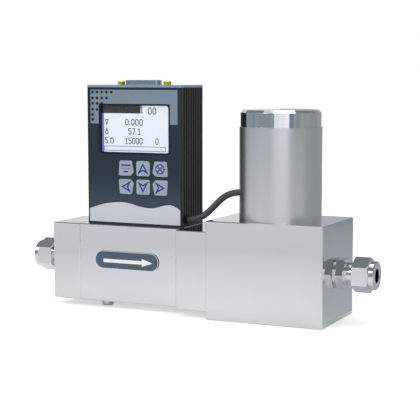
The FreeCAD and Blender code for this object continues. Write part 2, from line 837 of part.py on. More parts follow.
def front_label():
    """The front panel sheet in the housing's recess, cut out for the window and the keys."""
    half = board_clearance / 4
    sheet = box(housing_left + label_lip + half, housing_right - label_lip - half, housing_front, label_back,
                shell_bottom, shell_top)
    sheet = sheet.cut(window_cutter(housing_front - 1, label_thickness + 2))
    for name in key_names():
        sheet = sheet.cut(key_outline_plate(name, housing_front - 1, label_thickness + 2, key_gap))
    return sheet


def lcd_window():
    """The clear pane that fills the display window, just below the sheet's face."""
    return window_cutter(housing_front + window_pane_recess, window_pane_thickness)


def lcd_module():
    """The display module behind the window: a glass pack on a thicker frame."""
    front = wall_back + display_module_gap
    step = front + display_glass_thickness
    frame = rectangle(window_x(), window_centre_z, display_module_width, display_module_height)
    glass = rectangle(window_x(), window_centre_z, window_width, window_height)
    module = front_plate(frame, step, display_board_y - step, display_module_corner)
    return module.fuse(front_plate(glass, front, step - front, display_module_corner)).removeSplitter()


def board(y):
    """A circuit board that slides in the housing's slots."""
    half = inner_half_x - board_clearance
    z0 = shell_bottom + board_margin
    z1 = shell_top - board_margin
    return box(housing_x - half, housing_x + half, y, y + board_thickness, z0, z1)


def display_board():
    """The board that carries the display module and the key sheet."""
    plate = board(display_board_y)
    for x, y in boss_places():
        plate = plate.cut(rod((x, y, shell_bottom), AXIS_Z, boss_radius + board_clearance, shell_height))
    return plate


def main_board():
    """The board with the sensor circuit and the valve driver, with its parts left as plain blocks."""
    plate = board(main_board_y)
    for x, y in boss_places():
        plate = plate.cut(rod((x, y, shell_bottom), AXIS_Z, boss_radius + board_clearance, shell_height))
    for x, height, width, tall, thick in board_parts:
        x0 = housing_x + x - width / 2
        z0 = shell_bottom + height - tall / 2
        plate = plate.fuse(box(x0, x0 + width, main_board_y - thick, main_board_y, z0, z0 + tall))
    return plate.removeSplitter()


def key_names():
    """The six keys by name, with their column and row. Row 1 is the upper one."""
    return {"key_menu": (-1, 1), "key_up": (0, 1), "key_exit": (1, 1),
            "key_left": (-1, 0), "key_down": (0, 0), "key_right": (1, 0)}


def key_centre(name):
    """The middle (x, z) of a key."""
    column, row = key_names()[name]
    return housing_x + key_centre_x + column * key_pitch_x, key_lower_z + row * key_pitch_z


def key_outline(name):
    """A key's outline (x, z): a square in the middle column, and a bellied form beside it."""
    column, row = key_names()[name]
    x, z = key_centre(name)
    if column == 0:
        return rectangle(x, z, key_width, key_height)
    half = key_height / 2
    outline = [(-side_key_top_outer, half), (side_key_top_half, half),
               (side_key_belly_half, -side_key_belly_drop), (side_key_foot_half, -half),
               (-side_key_belly_half, -half)]
    flip_z = 1 if row == 1 else -1
    return [(x - column * px, z + flip_z * pz) for px, pz in outline]


def key_outline_plate(name, y, length, margin):
    """A key's outline as a plate from y towards the back, grown by a margin."""
    corner = key_corner if key_names()[name][0] == 0 else side_key_corner
    return front_plate(grown(key_outline(name), margin), y, length, corner + margin)


def key_flange_back():
    """The y place of the back of the keys' flanges at rest."""
    return wall_back + key_flange_thickness


def key_cap(name):
    """One key: the cap in the front panel, a flange behind the wall and a stem over its dome."""
    front = housing_front - key_proud
    flange_front = wall_back
    cap = key_outline_plate(name, front, flange_front - front, 0)
    rim = [edge for edge in cap.Edges if abs(edge.CenterOfMass.y - front) < 1e-6]
    cap = cap.makeChamfer(key_bevel, rim)
    flange = key_outline_plate(name, flange_front, key_flange_thickness, key_flange)
    x, z = key_centre(name)
    stem_end = display_board_y - dome_sheet_thickness - dome_height - key_stem_gap - key_travel
    stem = rod((x, key_flange_back(), z), AXIS_Y, key_stem_radius, stem_end - key_flange_back())
    return cap.fuse([flange, stem]).removeSplitter()


def key_dome_sheet():
    """The sheet of spring domes on the display board, one dome under each key."""
    width = 2 * key_pitch_x + key_width + 2
    height = key_pitch_z + key_height + 2
    sheet = front_plate(rectangle(housing_x + key_centre_x, key_lower_z + key_pitch_z / 2, width, height),
                        display_board_y - dome_sheet_thickness, dome_sheet_thickness, 1.0)
    top_radius = dome_radius * 0.45
    for name in key_names():
        x, z = key_centre(name)
        dome = turned([(0, 0), (0, dome_radius), (dome_height, top_radius), (dome_height, 0)],
                      (x, display_board_y - dome_sheet_thickness, z), -AXIS_Y)
        sheet = sheet.fuse(dome)
    return sheet.removeSplitter()


def connector_x():
    """The x place of the signal connector's middle."""
    return housing_x + connector_offset_x


def shell_outline():
    """The D outline (x, y) of the connector's shell, narrower towards the back."""
    front = shell_width / 2
    back = front - math.tan(math.radians(shell_slant)) * shell_depth
    x = connector_x()
    return [(x - front, -shell_depth / 2), (x + front, -shell_depth / 2),
            (x + back, shell_depth / 2), (x - back, shell_depth / 2)]


def shell_plate(z, height, margin):
    """The D outline as an upright plate from z."""
    return flat_plate(grown(shell_outline(), margin), z, height, shell_corner + margin)


def top_plate():
    """The bright plate on the housing, with the connector's cut-out and its screws."""
    outline = [(housing_left, housing_front), (housing_right, housing_front),
               (housing_right, housing_back), (housing_left, housing_back)]
    plate = flat_plate(outline, shell_top, top_plate_thickness, housing_corner)
    plate = plate.cut(shell_plate(shell_top - 1, top_plate_thickness + 2, cutout_clearance))
    for side in (-1, 1):
        start = (connector_x() + side * jack_spacing / 2, 0, shell_top)
        plate = plate.cut(rod(start, AXIS_Z, jack_stud_radius + screw_clearance, top_plate_thickness))
    cone = sink(m25_radius, m25_head_radius, top_plate_thickness, screw_clearance)
    for x, y in boss_places():
        plate = plate.cut(placed(cone, (x, y, housing_top), -AXIS_Z))
    return plate


def connector_shell():
    """The pressed steel shell: a flange under the top plate and a D-shaped wall standing through it."""
    x = connector_x()
    flange_z = shell_top - flange_thickness
    shell = box(x - flange_width / 2, x + flange_width / 2, -flange_depth / 2, flange_depth / 2,
                flange_z, shell_top)
    rise = top_plate_thickness + shell_proud + flange_thickness
    shell = shell.fuse(shell_plate(flange_z, rise, 0)).removeSplitter()
    shell = shell.cut(shell_plate(flange_z - 1, rise + 2, -shell_skin))
    for side in (-1, 1):
        start = (x + side * jack_spacing / 2, 0, flange_z)
        shell = shell.cut(rod(start, AXIS_Z, jack_stud_radius + screw_clearance, flange_thickness))
    return shell


def connector_insulator():
    """The plastic block that holds the pins, behind and inside the shell."""
    flange_z = shell_top - flange_thickness
    bottom = flange_z - insulator_depth
    x = connector_x()
    half = shell_width / 2 + insulator_ledge
    block = box(x - half, x + half, -flange_depth / 2 + 1.0, flange_depth / 2 - 1.0, bottom, flange_z)
    raised = shell_plate(flange_z, flange_thickness + insulator_rise, -shell_skin - 0.1)
    block = block.fuse(raised).removeSplitter()
    for px, py in pin_places():
        block = block.cut(rod((px, py, bottom), AXIS_Z, pin_radius, insulator_depth + 4))
    return block


def pin_places():
    """The pins' places (x, y): the longer row at the front."""
    places = []
    for row, count in ((-1, long_row_pin_count), (1, long_row_pin_count - 1)):
        for index in range(count):
            x = connector_x() + (index - (count - 1) / 2) * pin_pitch
            places.append((x, row * pin_row_pitch / 2))
    return places


def connector_pins():
    """The contact pins, round-nosed."""
    flange_z = shell_top - flange_thickness
    bottom = flange_z - insulator_depth - pin_tail
    length = shell_top + insulator_rise + pin_rise - bottom
    nose = pin_radius * 0.7
    pin = turned([(0, 0), (0, pin_radius), (length - nose, pin_radius), (length, pin_radius - nose),
                  (length, 0)])
    return group([placed(pin, (x, y, bottom), AXIS_Z) for x, y in pin_places()])


def jack_screws():
    """The two hexagonal screws beside the shell, threaded for the plug's own screws."""
    head = hexagon(jack_hex, 0, jack_height)
    corner = jack_hex / 2 / math.cos(math.pi / 6)
    bevel = jack_bevel
    head = head.common(turned([(0, 0), (0, corner), (jack_height - bevel, corner),
                               (jack_height, corner - bevel), (jack_height, 0)]))
    stud = rod((-jack_stud_length, 0, 0), AXIS_X, jack_stud_radius, jack_stud_length)
    screw = head.fuse(stud).removeSplitter()
    thread_start = (jack_height - jack_thread_depth, 0, 0)
    screw = screw.cut(rod(thread_start, AXIS_X, jack_thread_radius, jack_thread_depth))
    x = connector_x()
    return group([placed(screw, (x + side * jack_spacing / 2, 0, housing_top), AXIS_Z) for side in (-1, 1)])


def sensor_base():
    """The steel block on top of the flow body that carries the sensor tube."""
    middle = sensor_middle()
    half = sensor_base_width / 2
    base = box(middle - half, middle + half, -sensor_base_depth / 2, sensor_base_depth / 2,
               body_top, body_top + sensor_base_height)
    groove_depth = 2 * sensor_seal_section
    for x in sensor_ports():
        base = base.cut(rod((x, 0, body_top), AXIS_Z, sensor_tube_radius, sensor_base_height))
        outer = sensor_seal_radius + sensor_seal_section + seal_clearance / 2
        inner = sensor_seal_radius - sensor_seal_section - seal_clearance / 2
        start = (x, 0, body_top)
        base = base.cut(rod(start, AXIS_Z, outer, groove_depth).cut(rod(start, AXIS_Z, inner, groove_depth)))
    return base


def sensor_seals():
    """The two small sealing rings under the sensor base."""
    return group([ring(sensor_seal_section, sensor_seal_radius, sensor_seal_section, (x, 0, body_top), AXIS_Z)
                  for x in sensor_ports()])


def sensor_tube_wire():
    """The sensor tube's middle line: up one leg, over a straight top and down the other."""
    x0, x1 = sensor_ports()
    low = body_top + 0.2
    high = body_top + sensor_base_height + sensor_leg_height
    bend = sensor_bend_radius
    slope = bend * (1 - math.cos(math.pi / 4))
    points = [Vector(x0, 0, low), Vector(x0, 0, high - bend), Vector(x0 + slope, 0, high - slope),
              Vector(x0 + bend, 0, high), Vector(x1 - bend, 0, high), Vector(x1 - slope, 0, high - slope),
              Vector(x1, 0, high - bend), Vector(x1, 0, low)]
    edges = [Part.LineSegment(points[0], points[1]).toShape(),
             Part.Arc(points[1], points[2], points[3]).toShape(),
             Part.LineSegment(points[3], points[4]).toShape(),
             Part.Arc(points[4], points[5], points[6]).toShape(),
             Part.LineSegment(points[6], points[7]).toShape()]
    return Part.Wire(edges)


def swept(path, start, direction, radius):
    """A round section carried along a path."""
    section = Part.Wire(Part.Circle(start, direction, radius).toShape())
    return path.makePipeShell([section], True, False)


def sensor_tube():
    """The thin capillary tube that a small share of the gas runs through."""
    path = sensor_tube_wire()
    start = Vector(sensor_ports()[0], 0, body_top + 0.2)
    return swept(path, start, AXIS_Z, sensor_tube_radius)


def sensor_windings():
    """The two resistance windings on the sensor tube's straight top."""
    high = body_top + sensor_base_height + sensor_leg_height
    middle = sensor_middle()
    coils = []
    for x in (middle - sensor_coil_gap / 2 - sensor_coil_length, middle + sensor_coil_gap / 2):
        coil = rod((x, 0, high), AXIS_X, sensor_coil_radius, sensor_coil_length)
        coils.append(coil.cut(rod((x, 0, high), AXIS_X, sensor_tube_radius, sensor_coil_length)))
    return group(coils)


def sensor_cover():
    """The thin cover over the sensor tube, which stands on the sensor base."""
    middle = sensor_middle()
    z0 = body_top + sensor_base_height
    half_x = sensor_base_width / 2 - 2
    half_y = sensor_base_depth / 2 - 1
    cover = box(middle - half_x, middle + half_x, -half_y, half_y, z0, z0 + sensor_cover_height)
    wall = sensor_cover_wall
    room = box(middle - half_x + wall, middle + half_x - wall, -half_y + wall, half_y - wall,
               z0, z0 + sensor_cover_height - wall)
    return cover.cut(room)


def core_tube():
    """The valve's core tube: a flange in the block, a thin sleeve and a fixed core with a stud on top."""
    bottom = valve_height - flange_seat_depth
    stop = seat_top() + plunger_gap_height() + plunger_travel + plunger_gap
    top = valve_height + core_tube_height
    stud_top = top + core_tube_stud_height
    inner = plunger_radius + plunger_fit
    tube = turned([(0, inner), (0, flange_seat_radius), (flange_seat_depth, flange_seat_radius),
                   (flange_seat_depth, core_tube_radius), (top - bottom, core_tube_radius),
                   (top - bottom, core_tube_stud_radius), (stud_top - bottom, core_tube_stud_radius),
                   (stud_top - bottom, 0), (stop - bottom, 0), (stop - bottom, inner)],
                  (valve_centre_x, 0, bottom), AXIS_Z)
    return tube.cut(rod((valve_centre_x, 0, stop), AXIS_Z, spring_pocket_radius, spring_core_depth))


def seat_top():
    """The height of the valve seat's lip."""
    return valve_height - valve_chamber_depth + seat_height + lip_height


def plunger_gap_height():
    """How far the plunger's top stands above the lip while the valve is shut."""
    return seal_disc_thickness - seal_disc_recess + plunger_length


def valve_seat():
    """The orifice insert on the pocket's floor, with a raised lip."""
    end = seat_height + lip_height
    return turned([(0, orifice_radius), (0, seat_radius), (seat_height, seat_radius),
                   (seat_height, lip_radius), (end, lip_radius), (end, lip_radius - lip_width),
                   (seat_height, orifice_radius)],
                  (valve_centre_x, 0, valve_height - valve_chamber_depth), AXIS_Z)


def plunger():
    """The steel plunger, with a recess for the seal below and a spring pocket above."""
    bottom = seat_top() + seal_disc_thickness - seal_disc_recess
    bevel = plunger_bevel
    body = turned([(0, 0), (0, plunger_radius - bevel), (bevel, plunger_radius),
                   (plunger_length - bevel, plunger_radius), (plunger_length, plunger_radius - bevel),
                   (plunger_length, 0)], (valve_centre_x, 0, bottom), AXIS_Z)
    body = body.cut(rod((valve_centre_x, 0, bottom), AXIS_Z, seal_disc_radius, seal_disc_recess))
    top = bottom + plunger_length
    return body.cut(rod((valve_centre_x, 0, top), -AXIS_Z, spring_pocket_radius, spring_pocket_depth))


def plunger_seal():
    """The rubber disc that shuts the seat."""
    return rod((valve_centre_x, 0, seat_top()), AXIS_Z, seal_disc_radius, seal_disc_thickness)


def plunger_spring():
    """The spring that holds the plunger down, between the plunger's pocket and the fixed core's."""
    plunger_top = seat_top() + plunger_gap_height()
    low = plunger_top - spring_pocket_depth + spring_wire + 0.05
    high = plunger_top + plunger_travel + plunger_gap + spring_core_depth - spring_wire - 0.05
    height = high - low
    path = Part.Wire(Part.makeHelix(height / spring_turns, height, spring_radius))
    section = Part.Wire(Part.Circle(Vector(spring_radius, 0, 0), AXIS_Y, spring_wire).toShape())
    spring = path.makePipeShell([section], True, True)
    spring.translate(Vector(valve_centre_x, 0, low))
    return spring


def core_tube_seal():
    """The sealing ring under the core tube's flange."""
    groove_depth = 2 * core_seal_section
    start = (valve_centre_x, 0, valve_height - flange_seat_depth - groove_depth)
    return ring(core_seal_section, core_seal_radius, core_seal_section, start, AXIS_Z)


def coil_base_ring():
    """The steel ring under the coil, which holds the core tube's flange down."""
    start = (valve_centre_x, 0, valve_height)
    plate = rod(start, AXIS_Z, base_ring_radius, base_ring_thickness)
    return plate.cut(rod(start, AXIS_Z, bobbin_bore_radius, base_ring_thickness))


def coil_bottom():
    """The height of the bobbin's underside."""
    return valve_height + base_ring_thickness


def coil_top():
    """The height of the bobbin's upper side, level with the core tube's shoulder."""
    return valve_height + core_tube_height


def coil_bobbin():
    """The bobbin around the core tube."""
    length = coil_top() - coil_bottom()
    flange = bobbin_flange_thickness
    return turned([(0, bobbin_bore_radius), (0, bobbin_flange_radius), (flange, bobbin_flange_radius),
                   (flange, bobbin_tube_radius), (length - flange, bobbin_tube_radius),
                   (length - flange, bobbin_flange_radius), (length, bobbin_flange_radius),
                   (length, bobbin_bore_radius)], (valve_centre_x, 0, coil_bottom()), AXIS_Z)


def coil_winding():
    """The copper winding on the bobbin."""
    start = (valve_centre_x, 0, coil_bottom() + bobbin_flange_thickness)
    length = coil_top() - coil_bottom() - 2 * bobbin_flange_thickness
    wound = rod(start, AXIS_Z, winding_radius, length)
    return wound.cut(rod(start, AXIS_Z, bobbin_tube_radius, length))


def coil_nut():
    """The nut on the core tube's stud, which holds the coil."""
    nut = hexagon(coil_nut_hex, 0, coil_nut_height)
    nut = nut.cut(rod((0, 0, 0), AXIS_X, core_tube_stud_radius + 0.05, coil_nut_height))
    return placed(nut, (valve_centre_x, 0, coil_top()), AXIS_Z)


def valve_can():
    """The round steel can over the coil, with the hole for the cable on its inlet side."""
    start = (valve_centre_x, 0, valve_height)
    can = rod(start, AXIS_Z, can_radius, can_height)
    can = can.cut(rod(start, AXIS_Z, can_radius - can_wall, can_height))
    hole = rod((valve_centre_x - can_radius - 1, 0, cable_entry_z), AXIS_X, bush_plug_radius + bush_clearance,
               can_wall + 2)
    return can.cut(hole)


def can_cap():
    """The bright turned cap: a little narrower than the can, bevelled on top and hollow below."""
    inner = can_radius - can_wall - cap_fit
    room = cap_height - cap_wall
    return turned([(0, cap_radius), (cap_height - cap_chamfer, cap_radius),
                   (cap_height, cap_radius - cap_chamfer), (cap_height, 0), (room, 0),
                   (room, inner - cap_wall), (-cap_spigot, inner - cap_wall), (-cap_spigot, inner),
                   (0, inner)],
                  (valve_centre_x, 0, valve_height + can_height), AXIS_Z)


def cable_bush(start, direction, sunk):
    """A rubber bush in a wall: a plug through the hole and a thin collar outside, solid around the cable."""
    return turned([(-sunk, 0), (-sunk, bush_plug_radius), (0, bush_plug_radius), (0, bush_collar_radius),
                   (bush_collar_thickness, bush_collar_radius), (bush_collar_thickness, 0)], start, direction)


def cable_exit_x():
    """The x place where the cable leaves the housing's bush."""
    return housing_right + bush_collar_thickness


def cable_entry_x():
    """The x place where the cable meets the can's bush."""
    return valve_centre_x - can_radius - bush_collar_thickness


def cable_route():
    """The signal cable's route: out of the housing, up and across, and into the valve can."""
    first = Vector(cable_exit_x(), cable_exit_y, cable_exit_z)
    last = Vector(cable_entry_x(), 0, cable_entry_z)
    way = last - first
    bends = [first + Vector(way.x * along, way.y * across, way.z * up) for along, across, up in cable_bends]
    return [first] + bends + [last]


def cable_path(points):
    """Straight runs joined by tangent arcs, each as large as its two runs allow."""
    edges = []
    last = points[0]
    radii = []
    for index in range(1, len(points) - 1):
        here = points[index]
        to_last = points[index - 1] - here
        to_next = points[index + 1] - here
        shorter = min(to_last.Length, to_next.Length)
        half_turn = (math.pi - to_last.getAngle(to_next)) / 2
        reach = 0.45 * shorter
        radius = reach / math.tan(half_turn)
        radii.append(radius)
        to_last.normalize()
        to_next.normalize()
        start = here + to_last * reach
        end = here + to_next * reach
        centre_line = (to_last + to_next).normalize()
        middle = here + centre_line * (radius / math.cos(half_turn) - radius)
        edges.append(Part.LineSegment(last, start).toShape())
        edges.append(Part.Arc(start, middle, end).toShape())
        last = end
    edges.append(Part.LineSegment(last, points[-1]).toShape())
    print("cable bend radii", [round(radius, 1) for radius in radii], "mm, diameter", 2 * cable_radius)
    return Part.Wire(edges)


def signal_cable():
    """The cable as a plain tube along its route, cut flush with the faces of both bushes."""
    route = cable_route()
    first = (route[0] - route[1]).normalize() * bush_collar_thickness
    last = (route[-1] - route[-2]).normalize() * bush_collar_thickness
    path = cable_path([route[0] + first] + route[1:-1] + [route[-1] + last])
    cable = swept(path, route[0] + first, first, cable_radius)
    far = 10 * cable_radius
    for x0, end in ((cable_exit_x() - far, route[0]), (cable_entry_x(), route[-1])):
        cable = cable.cut(box(x0, x0 + far, end.y - far, end.y + far, end.z - far, end.z + far))
    print("cable length", round(path.Length, 1))
    return cable


def all_parts():
    """Every sub-part of the meter by name."""
    parts = {
        "inlet_end_plate": inlet_end_plate(),
        "flow_body": flow_body(),
        "adapter_plate": adapter_plate(),
        "valve_block": valve_block(),
        "end_plate_screws": end_plate_screws(),
        "adapter_screws": adapter_screws(),
        "flange_screws": flange_screws(),
        "block_seals": block_seals(),
        "level_feet": level_feet(),
        "inlet_filter_screen": inlet_filter_screen(),
        "laminar_flow_element": laminar_flow_element(),
        "flow_arrow_plate": flow_arrow_plate(),
        "base_plate": base_plate(),
        "base_plate_screws": base_plate_screws(),
        "housing_shell": housing_shell(),
        "housing_screws": housing_screws(),
        "top_plate": top_plate(),
        "top_plate_screws": top_plate_screws(),
        "front_label": front_label(),
        "lcd_window": lcd_window(),
        "lcd_module": lcd_module(),
        "display_board": display_board(),
        "key_dome_sheet": key_dome_sheet(),
        "main_board": main_board(),
        "connector_shell": connector_shell(),
        "connector_insulator": connector_insulator(),
        "connector_pins": connector_pins(),
        "jack_screws": jack_screws(),
        "sensor_base": sensor_base(),
        "sensor_seals": sensor_seals(),
        "sensor_tube": sensor_tube(),
        "sensor_windings": sensor_windings(),
        "sensor_cover": sensor_cover(),
        "core_tube": core_tube(),
        "core_tube_seal": core_tube_seal(),
        "valve_seat": valve_seat(),
        "plunger": plunger(),
        "plunger_seal": plunger_seal(),
        "plunger_spring": plunger_spring(),
        "coil_base_ring": coil_base_ring(),
        "coil_bobbin": coil_bobbin(),
        "coil_winding": coil_winding(),
        "coil_nut": coil_nut(),
        "valve_can": valve_can(),
        "can_cap": can_cap(),
        "housing_cable_bush": cable_bush((housing_right, cable_exit_y, cable_exit_z), AXIS_X, housing_wall),
        "can_cable_bush": cable_bush((valve_centre_x - can_radius, 0, cable_entry_z), -AXIS_X, can_wall),
        "signal_cable": signal_cable(),
    }
    parts.update(tube_fittings())
    parts.update({name: key_cap(name) for name in key_names()})
    return parts


def main():
    """Builds every sub-part and writes one file for each."""
    os.makedirs("parts", exist_ok=True)
    for name, shape in all_parts().items():
        if not shape.isValid():
            raise ValueError(name + " is not a valid shape")
        shape.exportStep(os.path.join("parts", name + ".step"))


main()
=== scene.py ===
"""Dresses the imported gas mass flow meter: its finishes, printed art, signal cable, studio and camera."""

import logging
import math
from dataclasses import dataclass, field
from enum import Enum

import bmesh
import bpy
import numpy as np
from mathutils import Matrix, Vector

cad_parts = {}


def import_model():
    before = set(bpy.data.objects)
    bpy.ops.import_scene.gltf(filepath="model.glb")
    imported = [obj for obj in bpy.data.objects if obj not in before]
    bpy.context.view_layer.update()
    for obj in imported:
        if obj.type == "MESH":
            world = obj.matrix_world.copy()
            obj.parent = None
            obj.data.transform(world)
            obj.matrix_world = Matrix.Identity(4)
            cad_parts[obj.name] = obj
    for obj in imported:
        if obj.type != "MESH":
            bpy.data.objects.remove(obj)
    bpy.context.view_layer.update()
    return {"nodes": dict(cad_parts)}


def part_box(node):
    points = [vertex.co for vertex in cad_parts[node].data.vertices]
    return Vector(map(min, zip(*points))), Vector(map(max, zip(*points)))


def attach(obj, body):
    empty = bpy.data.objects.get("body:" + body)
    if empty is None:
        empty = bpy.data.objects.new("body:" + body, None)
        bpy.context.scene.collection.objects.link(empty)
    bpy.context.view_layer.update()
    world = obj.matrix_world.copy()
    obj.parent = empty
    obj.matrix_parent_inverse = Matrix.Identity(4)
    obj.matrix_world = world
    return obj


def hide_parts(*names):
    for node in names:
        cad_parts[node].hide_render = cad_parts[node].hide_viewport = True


LOG = logging.getLogger("flow_meter")
MM = 0.001
ROOT_BODY = "meter"
Tree = bpy.types.NodeTree
Socket = bpy.types.NodeSocket
# A noise texture stays within these two values nearly everywhere
NOISE_LOW, NOISE_HIGH = 0.3, 0.7
WHITE = (1.0, 1.0, 1.0, 1.0)


# Small helpers for colours, nodes and flat shapes


def linear(code: str) -> tuple[float, float, float, float]:
    """Turns an sRGB colour into the linear values that a shader takes.

    Args:
        code: the colour as "#rrggbb".

    Returns:
        Red, green, blue and a full alpha. Each channel c is c / 12.92 when it is dark, and
        otherwise ((c + 0.055) / 1.055) to the power 2.4.
    """
    channels = [int(code[i:i + 2], 16) / 255 for i in (1, 3, 5)]
    turned = [c / 12.92 if c <= 0.04045 else ((c + 0.055) / 1.055) ** 2.4 for c in channels]
    return turned[0], turned[1], turned[2], 1.0


def darker(code: str, share: float) -> tuple[float, float, float, float]:
    """The linear values of an sRGB colour, with a share of each taken away."""
    return tuple(c * (1 - share) for c in linear(code)[:3]) + (1.0,)


def per(size: float) -> float:
    """A texture scale at which one feature measures that many millimetres."""
    return 1 / (size * MM)


def add(tree: Tree, kind: str, settings: dict, inputs: dict) -> bpy.types.Node:
    """Adds one node.

    Args:
        tree: the node tree it goes into.
        kind: the node's type name.
        settings: its properties by name.
        inputs: its inputs by name or number, each a plain value or another node's output.

    Returns:
        The new node.
    """
    node = tree.nodes.new(kind)
    for key, value in settings.items():
        setattr(node, key, value)
    for key, value in inputs.items():
        if isinstance(value, Socket):
            tree.links.new(value, node.inputs[key])
        else:
            node.inputs[key].default_value = value
    return node


def maths(tree: Tree, kind: str, *values: object) -> Socket:
    """One step of arithmetic, such as "MULTIPLY", on two or three numbers."""
    return add(tree, "ShaderNodeMath", {"operation": kind}, dict(enumerate(values))).outputs[0]


def vector(tree: Tree, kind: str, *values: object) -> Socket:
    """One step of vector arithmetic. It gives a number for "LENGTH", and otherwise a vector."""
    node = add(tree, "ShaderNodeVectorMath", {"operation": kind}, dict(enumerate(values)))
    return node.outputs["Value" if kind == "LENGTH" else "Vector"]


def noise(tree: Tree, place: Socket, scale: float, detail: float) -> Socket:
    """A noise texture at a place, with as many finer layers as detail says."""
    return add(tree, "ShaderNodeTexNoise", {},
               {"Vector": place, "Scale": scale, "Detail": detail}).outputs["Fac"]


def ranged(tree: Tree, value: Socket, start: float, end: float, low: float, high: float) -> Socket:
    """Turns a value that runs from start to end into one that runs from low to high, and no further."""
    return add(tree, "ShaderNodeMapRange", {}, {0: value, 1: start, 2: end, 3: low, 4: high}).outputs[0]


def blend(tree: Tree, share: Socket, first: object, second: object) -> Socket:
    """Mixes two colours: the first where the share is 0, and the second where it is 1."""
    return add(tree, "ShaderNodeMix", {"data_type": "RGBA"}, {0: share, 6: first, 7: second}).outputs[2]


def blank(owner: bpy.types.ID) -> Tree:
    """Gives a material or a world an empty node tree."""
    owner.use_nodes = True
    owner.node_tree.nodes.clear()
    return owner.node_tree


def sides(name: str) -> tuple[float, ...]:
    """A node's box in millimetres: its low and high x, then y and z in the same way."""
    return tuple(value / MM for pair in zip(*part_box(name)) for value in pair)


def put(name: str, data: bpy.types.ID) -> bpy.types.Object:
    """Makes an object and links it to the scene."""
    made = bpy.data.objects.new(name, data)
    bpy.context.scene.collection.objects.link(made)
    return made


def circle(x: float, z: float, radius: float, count: int) -> np.ndarray:
    """Points (x, z) on a circle: the centre plus the radius times cosine and sine of even angles."""
    turn = np.linspace(0, 2 * np.pi, count, endpoint=False)
    return np.stack([x + radius * np.cos(turn), z + radius * np.sin(turn)], 1)


def rounded(x0: float, x1: float, z0: float, z1: float, radius: float, count: int = 6) -> np.ndarray:
    """A rectangle's outline with quarter circles at its corners, run through anticlockwise.

    Args:
        x0, x1, z0, z1: its sides.
        radius: the corners' radius.
        count: points on each quarter circle.

    Returns:
        Points (x, z): each corner's centre plus the radius times cosine and sine of its quarter turn.
    """
    centres = np.array([(x1 - radius, z0 + radius), (x1 - radius, z1 - radius),
                        (x0 + radius, z1 - radius), (x0 + radius, z0 + radius)])
    start = np.array([-0.5, 0.0, 0.5, 1.0]) * np.pi
    turn = start[:, None] + np.linspace(0, np.pi / 2, count)
    arc = np.stack([np.cos(turn), np.sin(turn)], -1) * radius
    return (centres[:, None] + arc).reshape(-1, 2)


def upright(line: np.ndarray, y: float) -> np.ndarray:
    """A line (x, z) in the upright plane at one y, as points (x, y, z)."""
    return np.column_stack([line[:, 0], np.full(len(line), y), line[:, 1]])


def offset(path: np.ndarray, distance: float, closed: bool) -> np.ndarray:
    """Moves a line sideways, with mitred corners.

    Args:
        path: its points (x, z).
        distance: how far it moves to the left of its own direction.
        closed: whether the last point joins the first.

    Returns:
        The moved points. Each moves along the sum of its two sides' left normals, divided by one
        plus their dot product, which keeps both sides at the same distance.
    """
    steps = np.roll(path, -1, 0) - path if closed else np.diff(path, axis=0)
    normals = np.stack([-steps[:, 1], steps[:, 0]], 1) / np.linalg.norm(steps, axis=1)[:, None]
    before = np.roll(normals, 1, 0) if closed else np.vstack([normals[:1], normals])
    after = normals if closed else np.vstack([normals, normals[-1:]])
    mitre = (before + after) / (1 + (before * after).sum(1))[:, None]
    return path + distance * mitre


@dataclass
class Form:
    """One mesh in the making: grids of points that are joined into closed surfaces."""

    points: list = field(default_factory=list)
    faces: list = field(default_factory=list)

    def carry(self, grid: np.ndarray, closed: bool) -> None:
        """Adds a closed profile that is carried along a path.

        Args:
            grid: point j of the profile at station i of the path is grid[i, j], in metres.
            closed: whether the path's last station joins its first. If not, both ends are capped.
        """
        start = sum(len(block) for block in self.points)
        rows, columns = grid.shape[:2]
        index = start + np.arange(rows * columns).reshape(rows, columns)
        here = index if closed else index[:-1]
        ahead = np.roll(index, -1, 0) if closed else index[1:]
        quads = np.stack([here, np.roll(here, -1, 1), np.roll(ahead, -1, 1), ahead], -1)
        self.faces += quads.reshape(-1, 4).tolist()
        if not closed:
            self.faces += [index[0].tolist(), index[-1, ::-1].tolist()]
        self.points.append(grid.reshape(-1, 3))

    def slab(self, low: np.ndarray, high: np.ndarray, front: float, thick: float, closed: bool) -> None:
        """Adds a thin upright slab that spans the room between two lines in the XZ plane.

        Its section at a station is the rectangle between low and high and between front and back.

        Args:
            low, high: the two lines (x, z) in millimetres, with as many points each.
            front: its front's y in millimetres.
            thick: how far it reaches to the back.
            closed: whether the lines run full circle.
        """
        corners = [(low, front), (high, front), (high, front + thick), (low, front + thick)]
        self.carry(np.stack([upright(line, y) for line, y in corners], 1) * MM, closed)

    def stroke(self, path: np.ndarray, width: float, front: float, thick: float, closed: bool) -> None:
        """Adds a line of one width: a slab between the path moved half the width to each side."""
        self.slab(offset(path, -width / 2, closed), offset(path, width / 2, closed), front, thick, closed)

    def plate(self, outline: np.ndarray, front: float, thick: float) -> None:
        """Adds a filled upright plate: its outline at the front and at the back, joined and capped."""
        self.carry(np.stack([upright(outline, y) for y in (front, front + thick)]) * MM, False)

    def make(self, name: str) -> bpy.types.Object:
        """Builds the object, at the origin and with its faces outwards.

        Args:
            name: the piece's name.

        Returns:
            The new object, linked to the scene.
        """
        mesh = bpy.data.meshes.new(name)
        mesh.from_pydata(np.concatenate(self.points), [], self.faces)
        work = bmesh.new()
        work.from_mesh(mesh)
        bmesh.ops.recalc_face_normals(work, faces=work.faces)
        work.to_mesh(mesh)
        work.free()
        return put(name, mesh)


# The finishes, each named for the real material


class Lay(Enum):
    """Which way the tool marks of a finish run."""

    ALONG_X = (1.0, 0.0, 0.0)
    ROUND_X = (0.0, 1.0, 1.0)
    ROUND_Z = (1.0, 1.0, 0.0)
    EVEN = (0.0, 0.0, 0.0)


